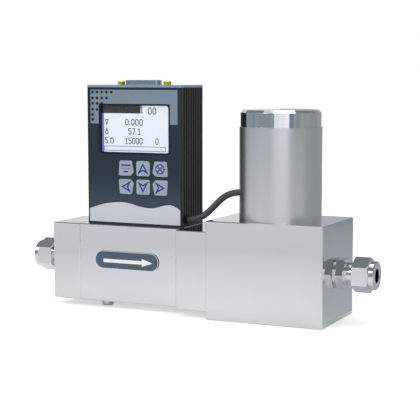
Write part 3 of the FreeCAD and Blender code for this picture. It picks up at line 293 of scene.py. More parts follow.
@dataclass(frozen=True)
class Finish:
    """A finish of one real material. Each kind says what its shader's sockets take."""

    name: str
    colour: str

    def sockets(self, tree: Tree, place: Socket) -> dict:
        """The Principled shader's inputs, from the place on the object."""
        return {"Base Color": linear(self.colour)}

    def build(self) -> bpy.types.Material:
        """Makes the material: object coordinates into this finish's sockets."""
        material = bpy.data.materials.new(self.name)
        material.diffuse_color = linear(self.colour)
        tree = blank(material)
        place = add(tree, "ShaderNodeTexCoord", {}, {}).outputs["Object"]
        shader = add(tree, "ShaderNodeBsdfPrincipled", {}, self.sockets(tree, place))
        add(tree, "ShaderNodeOutputMaterial", {}, {"Surface": shader.outputs["BSDF"]})
        return material


@dataclass(frozen=True)
class Metal(Finish):
    """Bare metal with tool marks, which make its roughness and its surface waver along their lay.

    Eased edges catch the light over the width in edge; painted shade darkens the hole near the axis.
    """

    roughness: float = 0.2
    spread: float = 0.05
    mark: float = 0.4
    length: float = 8.0
    depth: float = 0.001
    lay: Lay = Lay.EVEN
    middle: tuple[float, float, float] = (0.0, 0.0, 0.0)
    tarnish: float = 0.04
    tarnish_size: float = 16.0
    edge: float = 0.0
    # Painted shade in the hole: within this radius of the axis the colour turns to the one below
    shaded_bore_radius: float = 0.0
    bore_shade_colour: str = "#1c1d1f"

    def centred(self, tree: Tree, place: Socket) -> Socket:
        """The place seen from the finish's own axis."""
        return vector(tree, "SUBTRACT", place, [m * MM for m in self.middle])

    def radius(self, tree: Tree, place: Socket) -> Socket:
        """The distance from the axis: the length of what is left without the part along the axis."""
        return vector(tree, "LENGTH", vector(tree, "MULTIPLY", self.centred(tree, place), self.lay.value))

    def marks(self, tree: Tree, place: Socket) -> Socket:
        """The tool marks as a noise, long along the lay and narrow across it.

        Round marks depend only on the distance from the axis and on the place along it.
        """
        centred = self.centred(tree, place)
        if self.lay in (Lay.ROUND_X, Lay.ROUND_Z):
            parts = add(tree, "ShaderNodeSeparateXYZ", {}, {0: centred})
            along = parts.outputs[0 if self.lay is Lay.ROUND_X else 2]
            spot = add(tree, "ShaderNodeCombineXYZ", {}, {0: self.radius(tree, place), 1: along}).outputs[0]
            stretch = (per(self.mark),) * 3
        else:
            spot = centred
            narrow, wide = per(self.mark), per(self.length)
            stretch = tuple(wide if way else narrow for way in self.lay.value)
        return noise(tree, vector(tree, "MULTIPLY", spot, stretch), 1.0, 3.0)

    def sockets(self, tree: Tree, place: Socket) -> dict:
        """Metallic colour with a faint cloudy tarnish, marks in roughness and bump, and eased edges."""
        marks = self.marks(tree, place)
        cloud = noise(tree, place, per(self.tarnish_size), 2.0)
        colour = blend(tree, cloud, darker(self.colour, self.tarnish), linear(self.colour))
        # Painted shade: the hole round the axis is painted dark
        if self.shaded_bore_radius:
            in_bore_shade = maths(tree, "LESS_THAN", self.radius(tree, place), self.shaded_bore_radius * MM)
            colour = blend(tree, in_bore_shade, colour, linear(self.bore_shade_colour))
        rough = ranged(tree, marks, NOISE_LOW, NOISE_HIGH, self.roughness - self.spread,
                       self.roughness + self.spread)
        relief = {"Strength": 1.0, "Distance": self.depth * MM, "Height": marks}
        if self.edge:
            relief["Normal"] = add(tree, "ShaderNodeBevel", {"samples": 6},
                                   {"Radius": self.edge * MM}).outputs[0]
        bump = add(tree, "ShaderNodeBump", {}, relief).outputs[0]
        return {"Base Color": colour, "Metallic": 1.0, "Roughness": rough, "Normal": bump}


@dataclass(frozen=True)
class Skin(Finish):
    """A matt or glossy skin that isn't bare metal: plastic, rubber, paint, film or anodised layer.

    Its roughness varies by the share in waver.
    """

    roughness: float = 0.5
    waver: float = 0.1
    level: float = 0.5
    grain: float = 0.3
    depth: float = 0.01
    shade: float = 0.08
    cloud_size: float = 9.0
    metallic: float = 0.0
    glow: float = 0.0

    def tint(self, tree: Tree, place: Socket) -> Socket:
        """The colour, a little darker in soft clouds."""
        cloud = noise(tree, place, per(self.cloud_size), 3.0)
        return blend(tree, cloud, darker(self.colour, self.shade), linear(self.colour))

    def sockets(self, tree: Tree, place: Socket) -> dict:
        """The tint, and a fine grain in roughness and bump."""
        grain = noise(tree, place, per(self.grain), 2.0)
        rough = ranged(tree, grain, NOISE_LOW, NOISE_HIGH, self.roughness * (1 - self.waver),
                       self.roughness * (1 + self.waver))
        bump = add(tree, "ShaderNodeBump", {}, {"Strength": 0.6, "Distance": self.depth * MM,
                                                "Height": grain}).outputs[0]
        made = {"Base Color": self.tint(tree, place), "Metallic": self.metallic, "Roughness": rough,
                "Specular IOR Level": self.level, "Normal": bump}
        if self.glow:
            made["Emission Color"] = linear(self.colour)
            made["Emission Strength"] = self.glow
        return made


@dataclass(frozen=True)
class Ink(Skin):
    """Screen-printing ink: a thin, smooth and even layer."""

    roughness: float = 0.38
    level: float = 0.35
    depth: float = 0.001


@dataclass(frozen=True)
class PrintedFilm(Skin):
    """Polyester film printed from behind, its colour turning paler towards the foot."""

    foot_colour: str = "#384959"
    top_z: float = 92.0
    foot_z: float = 60.0

    def tint(self, tree: Tree, place: Socket) -> Socket:
        """The two colours mixed by height, in a smooth step."""
        height = add(tree, "ShaderNodeSeparateXYZ", {}, {0: place}).outputs[2]
        share = add(tree, "ShaderNodeMapRange", {"interpolation_type": "SMOOTHSTEP"},
                    {0: height, 1: self.foot_z * MM, 2: self.top_z * MM}).outputs[0]
        return blend(tree, share, linear(self.foot_colour), linear(self.colour))


@dataclass(frozen=True)
class Backlit(Skin):
    """A display module: a lit diffuser in front of a dark frame."""

    front_y: float = -14.0
    frame_colour: str = "#26282c"
    paleness: float = 0.4
    light: float = 0.5

    def sockets(self, tree: Tree, place: Socket) -> dict:
        """Only what lies in front of a set depth is pale and glows."""
        made = super().sockets(tree, place)
        depth = add(tree, "ShaderNodeSeparateXYZ", {}, {0: place}).outputs[1]
        lit = maths(tree, "LESS_THAN", depth, self.front_y * MM)
        share = maths(tree, "MULTIPLY", lit, self.paleness)
        made["Base Color"] = blend(tree, share, linear(self.frame_colour), made["Base Color"])
        made["Emission Color"] = linear(self.colour)
        made["Emission Strength"] = maths(tree, "MULTIPLY", lit, self.light)
        return made


@dataclass(frozen=True)
class Clear(Finish):
    """Clear plastic with a faint waviness, which lets daylight through to what lies behind it."""

    ior: float = 1.1
    wave_size: float = 14.0
    roughest: float = 0.02

    def sockets(self, tree: Tree, place: Socket) -> dict:
        """Full transmission, with a polish that varies a little."""
        wave = noise(tree, place, per(self.wave_size), 2.0)
        rough = ranged(tree, wave, 0.0, 1.0, 0.0, self.roughest)
        return {"Base Color": linear(self.colour), "Roughness": rough, "IOR": self.ior,
                "Transmission Weight": 1.0}

    def build(self) -> bpy.types.Material:
        """The clear shader for the eye, and an open way for the rays that gather light."""
        material = super().build()
        tree = material.node_tree
        clear = next(node for node in tree.nodes if node.type == "BSDF_PRINCIPLED")
        sheet = next(node for node in tree.nodes if node.type == "OUTPUT_MATERIAL")
        path = add(tree, "ShaderNodeLightPath", {}, {})
        gather = maths(tree, "MAXIMUM", path.outputs["Is Shadow Ray"], path.outputs["Is Diffuse Ray"])
        way = add(tree, "ShaderNodeBsdfTransparent", {}, {})
        both = add(tree, "ShaderNodeMixShader", {}, {0: gather, 1: clear.outputs[0], 2: way.outputs[0]})
        tree.links.new(both.outputs[0], sheet.inputs["Surface"])
        return material


@dataclass(frozen=True)
class Wound(Finish):
    """Fine wire wound round an upright axis: a wave along the axis, one crest for each turn.

    A wave texture at scale 1 has 20 crests to a unit, roughly, so the scale is the turns over 20.
    """

    pitch: float = 0.6
    roughness: float = 0.35
    groove_shade: float = 0.65

    def sockets(self, tree: Tree, place: Socket) -> dict:
        """Painted shade darkens the grooves between the turns, which stand out by a bump."""
        turns = add(tree, "ShaderNodeTexWave", {"bands_direction": "Z"},
                    {"Vector": place, "Scale": per(self.pitch) / 20, "Distortion": 0.3}).outputs["Fac"]
        colour = blend(tree, turns, darker(self.colour, self.groove_shade), linear(self.colour))
        bump = add(tree, "ShaderNodeBump", {}, {"Strength": 0.8, "Distance": 0.3 * self.pitch * MM,
                                                "Height": turns}).outputs[0]
        return {"Base Color": colour, "Metallic": 1.0, "Roughness": self.roughness, "Normal": bump}


# A point on the axis of each round finish, in millimetres. The two feet share the axis between them.
FLOW_AXIS = (0.0, 0.0, 30.0)
VALVE_AXIS = (55.8, 0.0, 0.0)
FEET_AXIS = (-62.4, 0.0, 0.0)

FINISHES = {
    # Ground stainless steel: a cool mirror with fine marks along the flow
    "steel": Metal("ground_stainless_steel", "#e6e7e9", roughness=0.045, spread=0.015, mark=0.6,
                   length=24.0, depth=0.0002, lay=Lay.ALONG_X),
    # Turned, polished stainless steel: sharp bright bands round each fitting, and painted shade in its hole
    "steel_fitting": Metal("polished_stainless_fitting", "#e5e6e7", roughness=0.045, spread=0.015,
                           mark=0.3, depth=0.0003, lay=Lay.ROUND_X, middle=FLOW_AXIS,
                           edge=0.45, shaded_bore_radius=4.4),
    # Fine-turned stainless steel tube: a satin sheen that spreads each light sideways
    "steel_can": Metal("satin_turned_steel", "#e7e8ea", roughness=0.315, spread=0.02, mark=0.3,
                       depth=0.0002, lay=Lay.ROUND_Z, middle=VALVE_AXIS),
    # Polished turned steel: the cap mirrors the room in hard upright bands
    "steel_cap": Metal("polished_turned_steel", "#ebecee", roughness=0.05, spread=0.015, mark=0.3,
                       depth=0.0002, lay=Lay.ROUND_Z, middle=VALVE_AXIS, edge=0.3),
    # Cold-headed stainless screws: a soft even shine
    "screw": Metal("stainless_screw_steel", "#c4c6c9", roughness=0.22, spread=0.06, mark=0.4,
                   depth=0.002),
    # Magnetic stainless steel: darker, and turned round the valve's axis
    "magnet_steel": Metal("magnetic_stainless_steel", "#b3b6ba", roughness=0.2, spread=0.05,
                          mark=0.3, depth=0.001, lay=Lay.ROUND_Z, middle=VALVE_AXIS),
    # Sintered steel powder: a dull grainy disc
    "sintered": Metal("sintered_steel_powder", "#8f9194", roughness=0.6, spread=0.15, mark=0.35,
                      depth=0.08, tarnish=0.3),
    # Fluoroelastomer rings: matt black rubber
    "seal": Skin("black_sealing_rubber", "#17181a", roughness=0.6, level=0.35, grain=0.2, depth=0.01),
    # Black anodised extruded aluminium: deep black with a soft metallic edge light
    "housing": Skin("black_anodised_aluminium", "#27282b", roughness=0.42, level=0.45, grain=0.25,
                    depth=0.004, shade=0.12),
    # Clear anodised sheet aluminium: a cool silver-blue plate
    "top": Metal("clear_anodised_aluminium", "#c1d6e7", roughness=0.3, spread=0.02, mark=0.35,
                 length=10.0, depth=0.001, lay=Lay.ALONG_X),
    # Back-printed polyester film: deep navy under a smooth clear face
    "label": PrintedFilm("navy_printed_polyester", "#1e2e3f", roughness=0.36, level=0.35, grain=0.5,
                         depth=0.001, shade=0.0),
    # Clear acrylic pane with an anti-glare coating, so that little of the room shows in it
    "window": Clear("clear_acrylic_pane", "#ffffff"),
    # Backlit display module with a white diffuser
    "display": Backlit("backlit_display_glass", "#e4edf8", roughness=0.3, shade=0.02, light=0.62),
    # Moulded silicone keys: pale blue-grey and finely grained
    "key": Skin("moulded_silicone_key", "#9eabb8", roughness=0.5, level=0.4, grain=0.15,
                depth=0.004, shade=0.05),
    # Solder mask on glass-fibre board
    "board": Skin("green_solder_mask", "#1d5a38", roughness=0.35, grain=1.2, depth=0.02, shade=0.35),
    # Stainless dome sheet for the keys
    "dome": Metal("sprung_dome_steel", "#c0c2c4", roughness=0.25, spread=0.06),
    # Tin-plated pressed steel of the connector
    "shell": Metal("tin_plated_steel", "#acbcc8", roughness=0.28, spread=0.03, mark=0.5, depth=0.0003),
    # Glass-filled polyester of the connector's insulator
    "insulator": Skin("black_moulded_polyester", "#1b1c1f", roughness=0.5, grain=0.3, depth=0.01),
    # Gold flash on the contact pins
    "gold": Metal("gold_plated_contact", "#e6bf60", roughness=0.18, spread=0.05, mark=0.3),
    # Yellow chromated steel of the jack screws: a bright lemon yellow
    "jack": Skin("yellow_chromated_steel", "#fff01c", roughness=0.25, grain=0.4, depth=0.002,
                 shade=0.3, metallic=0.8),
    # Enamelled copper wire, wound
    "copper": Wound("enamelled_copper_wire", "#b8693c"),
    # Glass-filled nylon of the bobbin
    "bobbin": Skin("natural_glass_filled_nylon", "#d8d3c2", roughness=0.45, grain=0.4, depth=0.01),
    # Extruded black PVC sheath: satin, with one soft highlight
    "cable": Skin("black_pvc_sheath", "#42454a", roughness=0.3, level=0.5, grain=0.4, depth=0.008,
                  shade=0.15),
    # Moulded rubber bushes
    "bush": Skin("black_bush_rubber", "#191a1c", roughness=0.6, level=0.3, grain=0.25, depth=0.01),
    # Blue anodised aluminium plate, satin
    "arrow_plate": Skin("blue_anodised_aluminium", "#4d6277", roughness=0.38, level=0.5, grain=0.3,
                        depth=0.002, shade=0.06, metallic=0.2),
    # Turned steel feet, polished on their rims
    "foot": Metal("turned_foot_steel", "#d5d7da", roughness=0.06, spread=0.02, mark=0.3,
                  depth=0.0003, lay=Lay.ROUND_Z, middle=FEET_AXIS, edge=0.5),
}

PRINTS = {
    # Screen-printing inks on the film, each a thin flat layer
    "field": Ink("grey_blue_print", "#7c8d9c", shade=0.05),
    "foot_field": Ink("pale_lilac_print", "#cbd0da", shade=0.03),
    "dark": Ink("black_print", "#080a0d"),
    "border": Ink("deep_navy_print", "#1c2636"),
    "blue": Ink("blue_print", "#0c3a80", roughness=0.45),
    "red": Ink("red_print", "#98182c", roughness=0.45),
    "white": Ink("white_print", "#fdfdfd", roughness=0.45),
    # Liquid crystal segments, which let a little of the backlight through
    "segment": Skin("dark_display_segment", "#25276a", roughness=0.3, depth=0.001),
    "banner": Skin("black_display_segment", "#1d1f26", roughness=0.3, depth=0.001),
    "lavender": Skin("lavender_display_segment", "#8f8fd6", roughness=0.3, depth=0.001, glow=0.12),
    # Bare bright rim of the arrow plate
    "rim": Metal("bright_cut_aluminium", "#eceded", roughness=0.2, spread=0.05),
}

SLOT_NODES = {
    "steel": ("inlet_end_plate", "flow_body", "adapter_plate", "valve_block", "sensor_base",
              "laminar_flow_element"),
    "steel_fitting": ("inlet_fitting_body", "outlet_fitting_body", "inlet_nut", "outlet_nut",
                      "front_ferrules", "back_ferrules", "valve_seat", "sensor_tube", "plunger_spring"),
    "steel_can": ("valve_can",),
    "steel_cap": ("can_cap",),
    "screw": ("end_plate_screws", "adapter_screws", "flange_screws", "base_plate_screws",
              "housing_screws", "top_plate_screws"),
    "magnet_steel": ("core_tube", "plunger", "coil_base_ring", "coil_nut", "sensor_cover"),
    "sintered": ("inlet_filter_screen",),
    "seal": ("block_seals", "sensor_seals", "core_tube_seal", "plunger_seal"),
    "housing": ("housing_shell", "base_plate"),
    "top": ("top_plate",),
    "label": ("front_label",),
    "window": ("lcd_window",),
    "display": ("lcd_module",),
    "key": ("key_menu", "key_up", "key_exit", "key_left", "key_down", "key_right"),
    "board": ("display_board", "main_board"),
    "dome": ("key_dome_sheet",),
    "shell": ("connector_shell",),
    "insulator": ("connector_insulator",),
    "gold": ("connector_pins",),
    "jack": ("jack_screws",),
    "copper": ("coil_winding", "sensor_windings"),
    "bobbin": ("coil_bobbin",),
    "cable": ("signal_cable",),
    "bush": ("housing_cable_bush", "can_cable_bush"),
    "arrow_plate": ("flow_arrow_plate",),
    "foot": ("level_feet",),
}


@dataclass
class Paintbox:
    """Makes each material once and hands it out by name."""

    made: dict = field(default_factory=dict)

    def get(self, finish: Finish) -> bpy.types.Material:
        """The material of a finish, built the first time it is asked for."""
        if finish.name not in self.made:
            self.made[finish.name] = finish.build()
        return self.made[finish.name]


@dataclass
class Assembly:
    """What every sub-assembly shares: the frame, the paintbox and how a piece is put in place."""

    nodes: dict
    paints: Paintbox

    def place(self, form: Form, name: str, finish: Finish, slot: str, body: str) -> bpy.types.Object:
        """Makes a piece, dresses it and lets it ride.

        Args:
            form: its shape.
            name: its name.
            finish: what it is made of.
            slot: not used (the record's material slot that it belongs to).
            body: the body it moves with.

        Returns:
            The piece.
        """
        made = form.make(name)
        made.data.materials.append(self.paints.get(finish))
        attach(made, body)
        LOG.info("made %s on %s", name, body)
        return made


@dataclass
class Construction(Assembly):
    """Every solid piece from the construction, which keeps its shape and gets its finish."""

    def dress(self) -> None:
        """Gives each node the finish of its slot."""
        for slot, names in SLOT_NODES.items():
            material = self.paints.get(FINISHES[slot])
            for name in names:
                node = self.nodes[name]
                if not node.material_slots:
                    node.data.materials.append(material)
                for holder in node.material_slots:
                    holder.material = material
            LOG.info("dressed %s: %s", slot, ", ".join(names))


@dataclass
class Printing(Assembly):
    """Thin printed layers. The thickness of one layer is in millimetres."""

    layer: float = 0.02


@dataclass
class FrontLabel(Printing):
    """The printing on the front sheet, in millimetres from the sheet's own sides."""

    layer: float = 0.03
    top_border: float = 1.5
    side_border: float = 1.7
    field_drop: float = 23.1
    frame_width: float = 1.1
    window_corner: float = 1.6
    dot_radius: float = 0.95
    dot_columns: tuple = (3.2, 6.5, 10.0, 13.5, 17.0)
    dot_rows: tuple = (3.0, 6.8, 10.3, 14.1, 17.5, 20.6)
    dot_counts: tuple = (5, 4, 3, 2, 1, 1)
    wave: tuple = ((0.0, 8.4), (11.2, 12.1), (22.4, 13.6), (29.8, 13.0), (36.8, 11.1), (43.6, 10.1),
                   (48.2, 10.6), (54.0, 12.4), (58.5, 13.2), (61.7, 12.6), (65.7, 9.8))
    wave_steps: int = 60
    outline_width: float = 0.45

    def build(self) -> None:
        """Prints the field, its dots, the window's frame, the pale foot and the dark edge."""
        self.left, self.right, self.face, _, self.foot, self.top = sides("front_label")
        x0, x1, _, _, z0, z1 = sides("lcd_window")
        self.window = (x0, x1, z0, z1)
        self.print_field()
        self.print_dots()
        self.print_frame()
        self.print_foot()
        self.print_edge()

    def print_field(self) -> None:
        """The grey-blue field: a band in the form of an upturned U round the window's upper part."""
        left, right = self.left + self.side_border, self.right - self.side_border
        top, foot = self.top - self.top_border, self.top - self.field_drop
        x0, x1, _, z1 = self.window
        x0, x1, z1 = x0 - self.frame_width, x1 + self.frame_width, z1 + self.frame_width
        outer = np.array([(left, foot), (left, top), (right, top), (right, foot)])
        inner = np.array([(x0, foot), (x0, z1), (x1, z1), (x1, foot)])
        form = Form()
        form.slab(outer, inner, self.face - self.layer, 2 * self.layer, False)
        self.place(form, "label_field", PRINTS["field"], "label", ROOT_BODY)

    def print_dots(self) -> None:
        """The rows of black dots, each row shorter than the one above."""
        form = Form()
        for drop, count in zip(self.dot_rows, self.dot_counts):
            for inset in self.dot_columns[:count]:
                dot = circle(self.left + inset, self.top - drop, self.dot_radius, 16)
                form.plate(dot, self.face - 2 * self.layer, 2 * self.layer)
        self.place(form, "label_dots", PRINTS["dark"], "label", ROOT_BODY)

    def print_frame(self) -> None:
        """The black frame round the window."""
        x0, x1, z0, z1 = self.window
        grow = self.frame_width
        inner = rounded(x0, x1, z0, z1, self.window_corner)
        outer = rounded(x0 - grow, x1 + grow, z0 - grow, z1 + grow, self.window_corner + grow)
        form = Form()
        form.slab(inner, outer, self.face - 2 * self.layer, 3 * self.layer, True)
        self.place(form, "window_frame_print", PRINTS["dark"], "label", ROOT_BODY)

    def wave_line(self) -> np.ndarray:
        """The wavy upper edge of the foot: straight runs between the wave's points, then smoothed."""
        x, z = np.array(self.wave).T
        run = np.linspace(x[0], x[-1], self.wave_steps)
        height = np.interp(run, x, z)
        kernel = np.hanning(11)
        padded = np.pad(height, 5, mode="reflect", reflect_type="odd")
        smooth = np.convolve(padded, kernel / kernel.sum(), "valid")
        return np.column_stack([self.left + run, self.foot + smooth])

    def print_foot(self) -> None:
        """The pale foot below the wave, and the dark line along it."""
        line = self.wave_line()
        base = np.column_stack([line[:, 0], np.full(len(line), self.foot)])
        form = Form()
        form.slab(base, line, self.face - self.layer, 2 * self.layer, False)
        self.place(form, "label_foot_field", PRINTS["foot_field"], "label", ROOT_BODY)
        form = Form()
        form.stroke(line, self.outline_width, self.face - 2 * self.layer, 2 * self.layer, False)
        self.place(form, "label_wave_line", PRINTS["border"], "label", ROOT_BODY)

    def print_edge(self) -> None:
        """The thin dark line along the top and down the left side."""
        half = self.outline_width / 2
        left, top = self.left + half, self.top - half
        path = np.array([(self.right, top), (left, top), (left, self.foot)])
        form = Form()
        form.stroke(path, self.outline_width, self.face - 3 * self.layer, 3 * self.layer, False)
        self.place(form, "label_edge_line", PRINTS["dark"], "label", ROOT_BODY)


@dataclass
class Display(Printing):
    """What the display shows: plain numbers, small shapes and a bar, as layers on the module."""

    line_width: float = 0.52
    glyph_share: float = 0.7
    point_share: float = 0.45
    point_radius: float = 0.36
    point_rise: float = 0.3
    # Each row: its figures, then x, z, height and pitch in millimetres from the window's corner
    rows: tuple = (("00", 33.6, 24.4, 4.0, 3.2), ("0.000", 17.2, 17.4, 3.6, 2.95),
                   ("57.1", 19.4, 11.5, 3.6, 2.7), ("5.0", 2.3, 5.5, 3.6, 2.8),
                   ("15000", 16.9, 5.5, 3.6, 2.62), ("0", 38.8, 5.5, 3.6, 2.6))
    # From the window's corner too: the pointer's corners, then each part's sides x and z and its corners
    pointer: tuple = ((3.6, 17.6), (4.6, 20.6), (2.6, 20.6))
    flask: tuple = (2.8, 4.4, 11.5, 13.7, 0.3)
    stopper: tuple = (3.1, 4.1, 14.1, 15.1, 0.2)
    bar_left: float = 1.9
    bar_right: float = 3.2
    bar_low: float = 1.0
    bar_high: float = 3.7
    bar_corner: float = 0.2
    strip_width: float = 1.6
    banner_length: float = 27.8
    banner_height: float = 5.0
    banner_corner: float = 0.3

    # Each figure's strokes on a grid one wide and two high
    strokes = {
        "0": [((0, .4), (0, 1.6), (.35, 2), (.65, 2), (1, 1.6), (1, .4), (.65, 0), (.35, 0), (0, .4))],
        "1": [((.15, 1.6), (.55, 2), (.55, 0)), ((.1, 0), (1, 0))],
        "5": [((1, 2), (.1, 2), (.05, 1.2), (.6, 1.25), (1, .9), (1, .4), (.65, 0), (.3, 0), (0, .3))],
        "7": [((0, 2), (1, 2), (.4, 0))],
    }

    def build(self) -> None:
        """Draws the numbers, the shapes at the left, the bar, the strip and the banner."""
        self.left, self.right, _, _, self.foot, self.top = sides("lcd_window")
        self.face = sides("lcd_module")[2]
        self.draw_numbers()
        self.draw_shapes()
        self.draw_banner()

    def draw_numbers(self) -> None:
        """The rows of figures, stroke by stroke."""
        form = Form()
        for text, x, z, height, pitch in self.rows:
            for figure in text:
                if figure == ".":
                    dot = circle(self.left + x, self.foot + z + self.point_rise, self.point_radius, 8)
                    form.plate(dot, self.face - self.layer, self.layer)
                    x += pitch * self.point_share
                    continue
                for points in self.strokes[figure]:
                    scale = np.array([pitch * self.glyph_share, height / 2])
                    path = np.array(points) * scale + (self.left + x, self.foot + z)
                    form.stroke(path, self.line_width, self.face - self.layer, self.layer, False)
                x += pitch
        self.place(form, "display_numbers", PRINTS["segment"], "display", ROOT_BODY)

    def part(self, x0: float, x1: float, z0: float, z1: float, corner: float) -> np.ndarray:
        """A small rounded rectangle, its sides given from the window's corner."""
        return rounded(self.left + x0, self.left + x1, self.foot + z0, self.foot + z1, corner, 3)

    def draw_shapes(self) -> None:
        """A small pointer and a small flask at the left, and the frame of the bar along the foot."""
        form = Form()
        pointer = np.array(self.pointer) + (self.left, self.foot)
        form.stroke(pointer, self.line_width, self.face - self.layer, self.layer, True)
        form.stroke(self.part(*self.flask), self.line_width, self.face - self.layer, self.layer, True)
        form.plate(self.part(*self.stopper), self.face - self.layer, self.layer)
        self.place(form, "display_shapes", PRINTS["segment"], "display", ROOT_BODY)
        form = Form()
        end = self.right - self.left - self.bar_right
        bar = self.part(self.bar_left, end, self.bar_low, self.bar_high, self.bar_corner)
        form.stroke(bar, self.line_width, self.face - self.layer, self.layer, True)
        self.place(form, "display_bar", PRINTS["lavender"], "display", ROOT_BODY)

    def draw_banner(self) -> None:
        """The dark banner at the upper left, and the lavender strips below it and beside it."""
        right, foot = self.left + self.banner_length, self.top - self.banner_height
        outline = rounded(self.left, right, foot, self.top, self.banner_corner, 4)
        form = Form()
        form.plate(outline, self.face - self.layer, self.layer)
        self.place(form, "display_banner", PRINTS["banner"], "display", ROOT_BODY)
        strip = np.array([(self.left, self.foot), (self.left + self.strip_width, self.foot),
                          (self.left + self.strip_width, foot), (self.left, foot)])
        end = right + self.strip_width
        tag = np.array([(right, foot), (end, foot), (end, self.top), (right, self.top)])
        form = Form()
        form.plate(strip, self.face - self.layer, self.layer)
        form.plate(tag, self.face - self.layer, self.layer)
        self.place(form, "display_strips", PRINTS["lavender"], "display", ROOT_BODY)


@dataclass
class KeySymbols(Printing):
    """The symbols printed on the keys, each on its own key's body."""

    line_width: float = 0.92
    reach: float = 2.6
    half_width: float = 2.85
    notch: float = -0.95
    ring_radius: float = 2.9
    fine_share: float = 0.8
    cross_share: float = 0.62
    dot_radius: float = 0.75
    # Each bar: half its width, its height, its rise over the key's middle and its corner radius
    bars: tuple = ((3.4, 1.0, 1.9, 0.2), (1.6, 1.0, -2.2, 0.2))
    red_bars: tuple = ((3.6, 0.3, -0.1, 0.1),)

    def centre(self, key: str) -> tuple[float, float, float]:
        """A key's middle (x, z) and the y of its face, in millimetres.

        A key's flange stands out evenly all round its cap, so the whole key's box has the cap's middle.
        """
        x0, x1, face, _, z0, z1 = sides(key)
        return (x0 + x1) / 2, (z0 + z1) / 2, face

    def build(self) -> None:
        """Prints four arrowheads, the crossed ring and the menu bars."""
        quarter = {"key_up": 0, "key_left": 1, "key_down": 2, "key_right": 3}
        for key, turns in quarter.items():
            self.arrowhead(key, turns)
        self.crossed_ring("key_exit")
        self.menu_bars("key_menu")

    def arrowhead(self, key: str, turns: int) -> None:
        """A notched arrowhead in outline, turned left by quarter turns.

        Args:
            key: the key it is printed on.
            turns: how many quarter turns to the left.
        """
        x, z, face = self.centre(key)
        points = np.array([(0, self.reach), (-self.half_width, -self.reach), (0, self.notch),
                           (self.half_width, -self.reach)])
        angle = turns * np.pi / 2
        turn = np.array([(np.cos(angle), np.sin(angle)), (-np.sin(angle), np.cos(angle))])
        form = Form()
        form.stroke(points @ turn + (x, z), self.line_width, face - self.layer, 2 * self.layer, True)
        self.place(form, key + "_arrow", PRINTS["blue"], "key", key)

    def crossed_ring(self, key: str) -> None:
        """A ring with a cross in it, and a red dot on its right.

        Ring, arms and dot each lie at a height of their own, so that no two faces share a plane.
        """
        x, z, face = self.centre(key)
        form, width = Form(), self.line_width * self.fine_share
        form.stroke(circle(x, z, self.ring_radius, 40), width, face - self.layer, 2 * self.layer, True)
        arm = self.cross_share * self.ring_radius
        for side in (-1, 1):
            path = np.array([(x - arm, z - side * arm), (x + arm, z + side * arm)])
            form.stroke(path, width, face - self.layer * (1.5 + 0.25 * side), 2 * self.layer, False)
        self.place(form, key + "_ring", PRINTS["blue"], "key", key)
        form = Form()
        dot = circle(x + self.ring_radius, z, self.dot_radius, 16)
        form.plate(dot, face - 2.5 * self.layer, 2 * self.layer)
        self.place(form, key + "_dot", PRINTS["red"], "key", key)

    def menu_bars(self, key: str) -> None:
        """Plain bars over and under a thin red line."""
        x, z, face = self.centre(key)
        for name, print_name, bars in (("_bars", "blue", self.bars), ("_line", "red", self.red_bars)):
            form = Form()
            for half, height, rise, corner in bars:
                low, high = z + rise - height / 2, z + rise + height / 2
                bar = rounded(x - half, x + half, low, high, corner, 3)
                form.plate(bar, face - self.layer, 2 * self.layer)
            self.place(form, key + name, PRINTS[print_name], "key", key)


@dataclass
class ArrowPlate(Printing):
    """The rim and the printed arrow of the plate on the flow body's front.

    The rim's ends are a hair short of half circles, so that no two of their points fall together.
    """

    hair: float = 0.01
    rim_width: float = 0.3
    shaft_start: float = 6.0
    shaft_end: float = 33.9
    tip: float = 41.6
    shaft_half: float = 1.15
    head_half: float = 2.5
    drop: float = 0.55

    def build(self) -> None:
        """Lays the bright rim round the plate and prints the arrow."""
        x0, x1, face, _, z0, z1 = sides("flow_arrow_plate")
        edge = rounded(x0, x1, z0, z1, (z1 - z0) / 2 - self.hair, 16)
        form = Form()
        outer, inner = offset(edge, -self.layer, True), offset(edge, self.rim_width, True)
        form.slab(outer, inner, face - 2 * self.layer, 6 * self.layer, True)
        self.place(form, "arrow_plate_rim", PRINTS["rim"], "arrow_plate", ROOT_BODY)
        middle = (z0 + z1) / 2 - self.drop
        shaft, head = self.shaft_half, self.head_half
        outline = np.array([(self.shaft_start, -shaft), (self.shaft_end, -shaft), (self.shaft_end, -head),
                            (self.tip, 0), (self.shaft_end, head), (self.shaft_end, shaft),
                            (self.shaft_start, shaft)]) + (x0, middle)
        form = Form()
        form.plate(outline, face - self.layer, 2 * self.layer)
        self.place(form, "flow_arrow", PRINTS["white"], "arrow_plate", ROOT_BODY)


@dataclass
class SignalCable(Assembly):
    """The cable from the housing to the valve can, along the construction's own route."""

    route: tuple = ((-3.95, -8.5, 59.0), (3.31, -7.57, 59.86), (9.22, -5.69, 63.91),
                    (17.81, -2.42, 73.80), (24.06, -0.70, 76.77), (29.7, 0.0, 77.2))
    diameter: float = 4.15
    length: float = 40.8

    def build(self) -> None:
        """One smooth curve whose control points are the route's points."""
        curve = bpy.data.curves.new("signal_cord", "CURVE")
        curve.dimensions = "3D"
        curve.bevel_depth = self.diameter / 2 * MM
        curve.bevel_resolution = 8
        curve.resolution_u = 20
        curve.use_fill_caps = True
        spline = curve.splines.new("NURBS")
        spline.points.add(len(self.route) - 1)
        for point, (x, y, z) in zip(spline.points, self.route):
            point.co = (x * MM, y * MM, z * MM, 1.0)
        spline.order_u = 3
        spline.use_endpoint_u = True
        cord = put("signal_cord", curve)
        curve.materials.append(self.paints.get(FINISHES["cable"]))
        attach(cord, ROOT_BODY)
        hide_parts("signal_cable")
        LOG.info("made signal_cord on %s", ROOT_BODY)


# The studio round the object


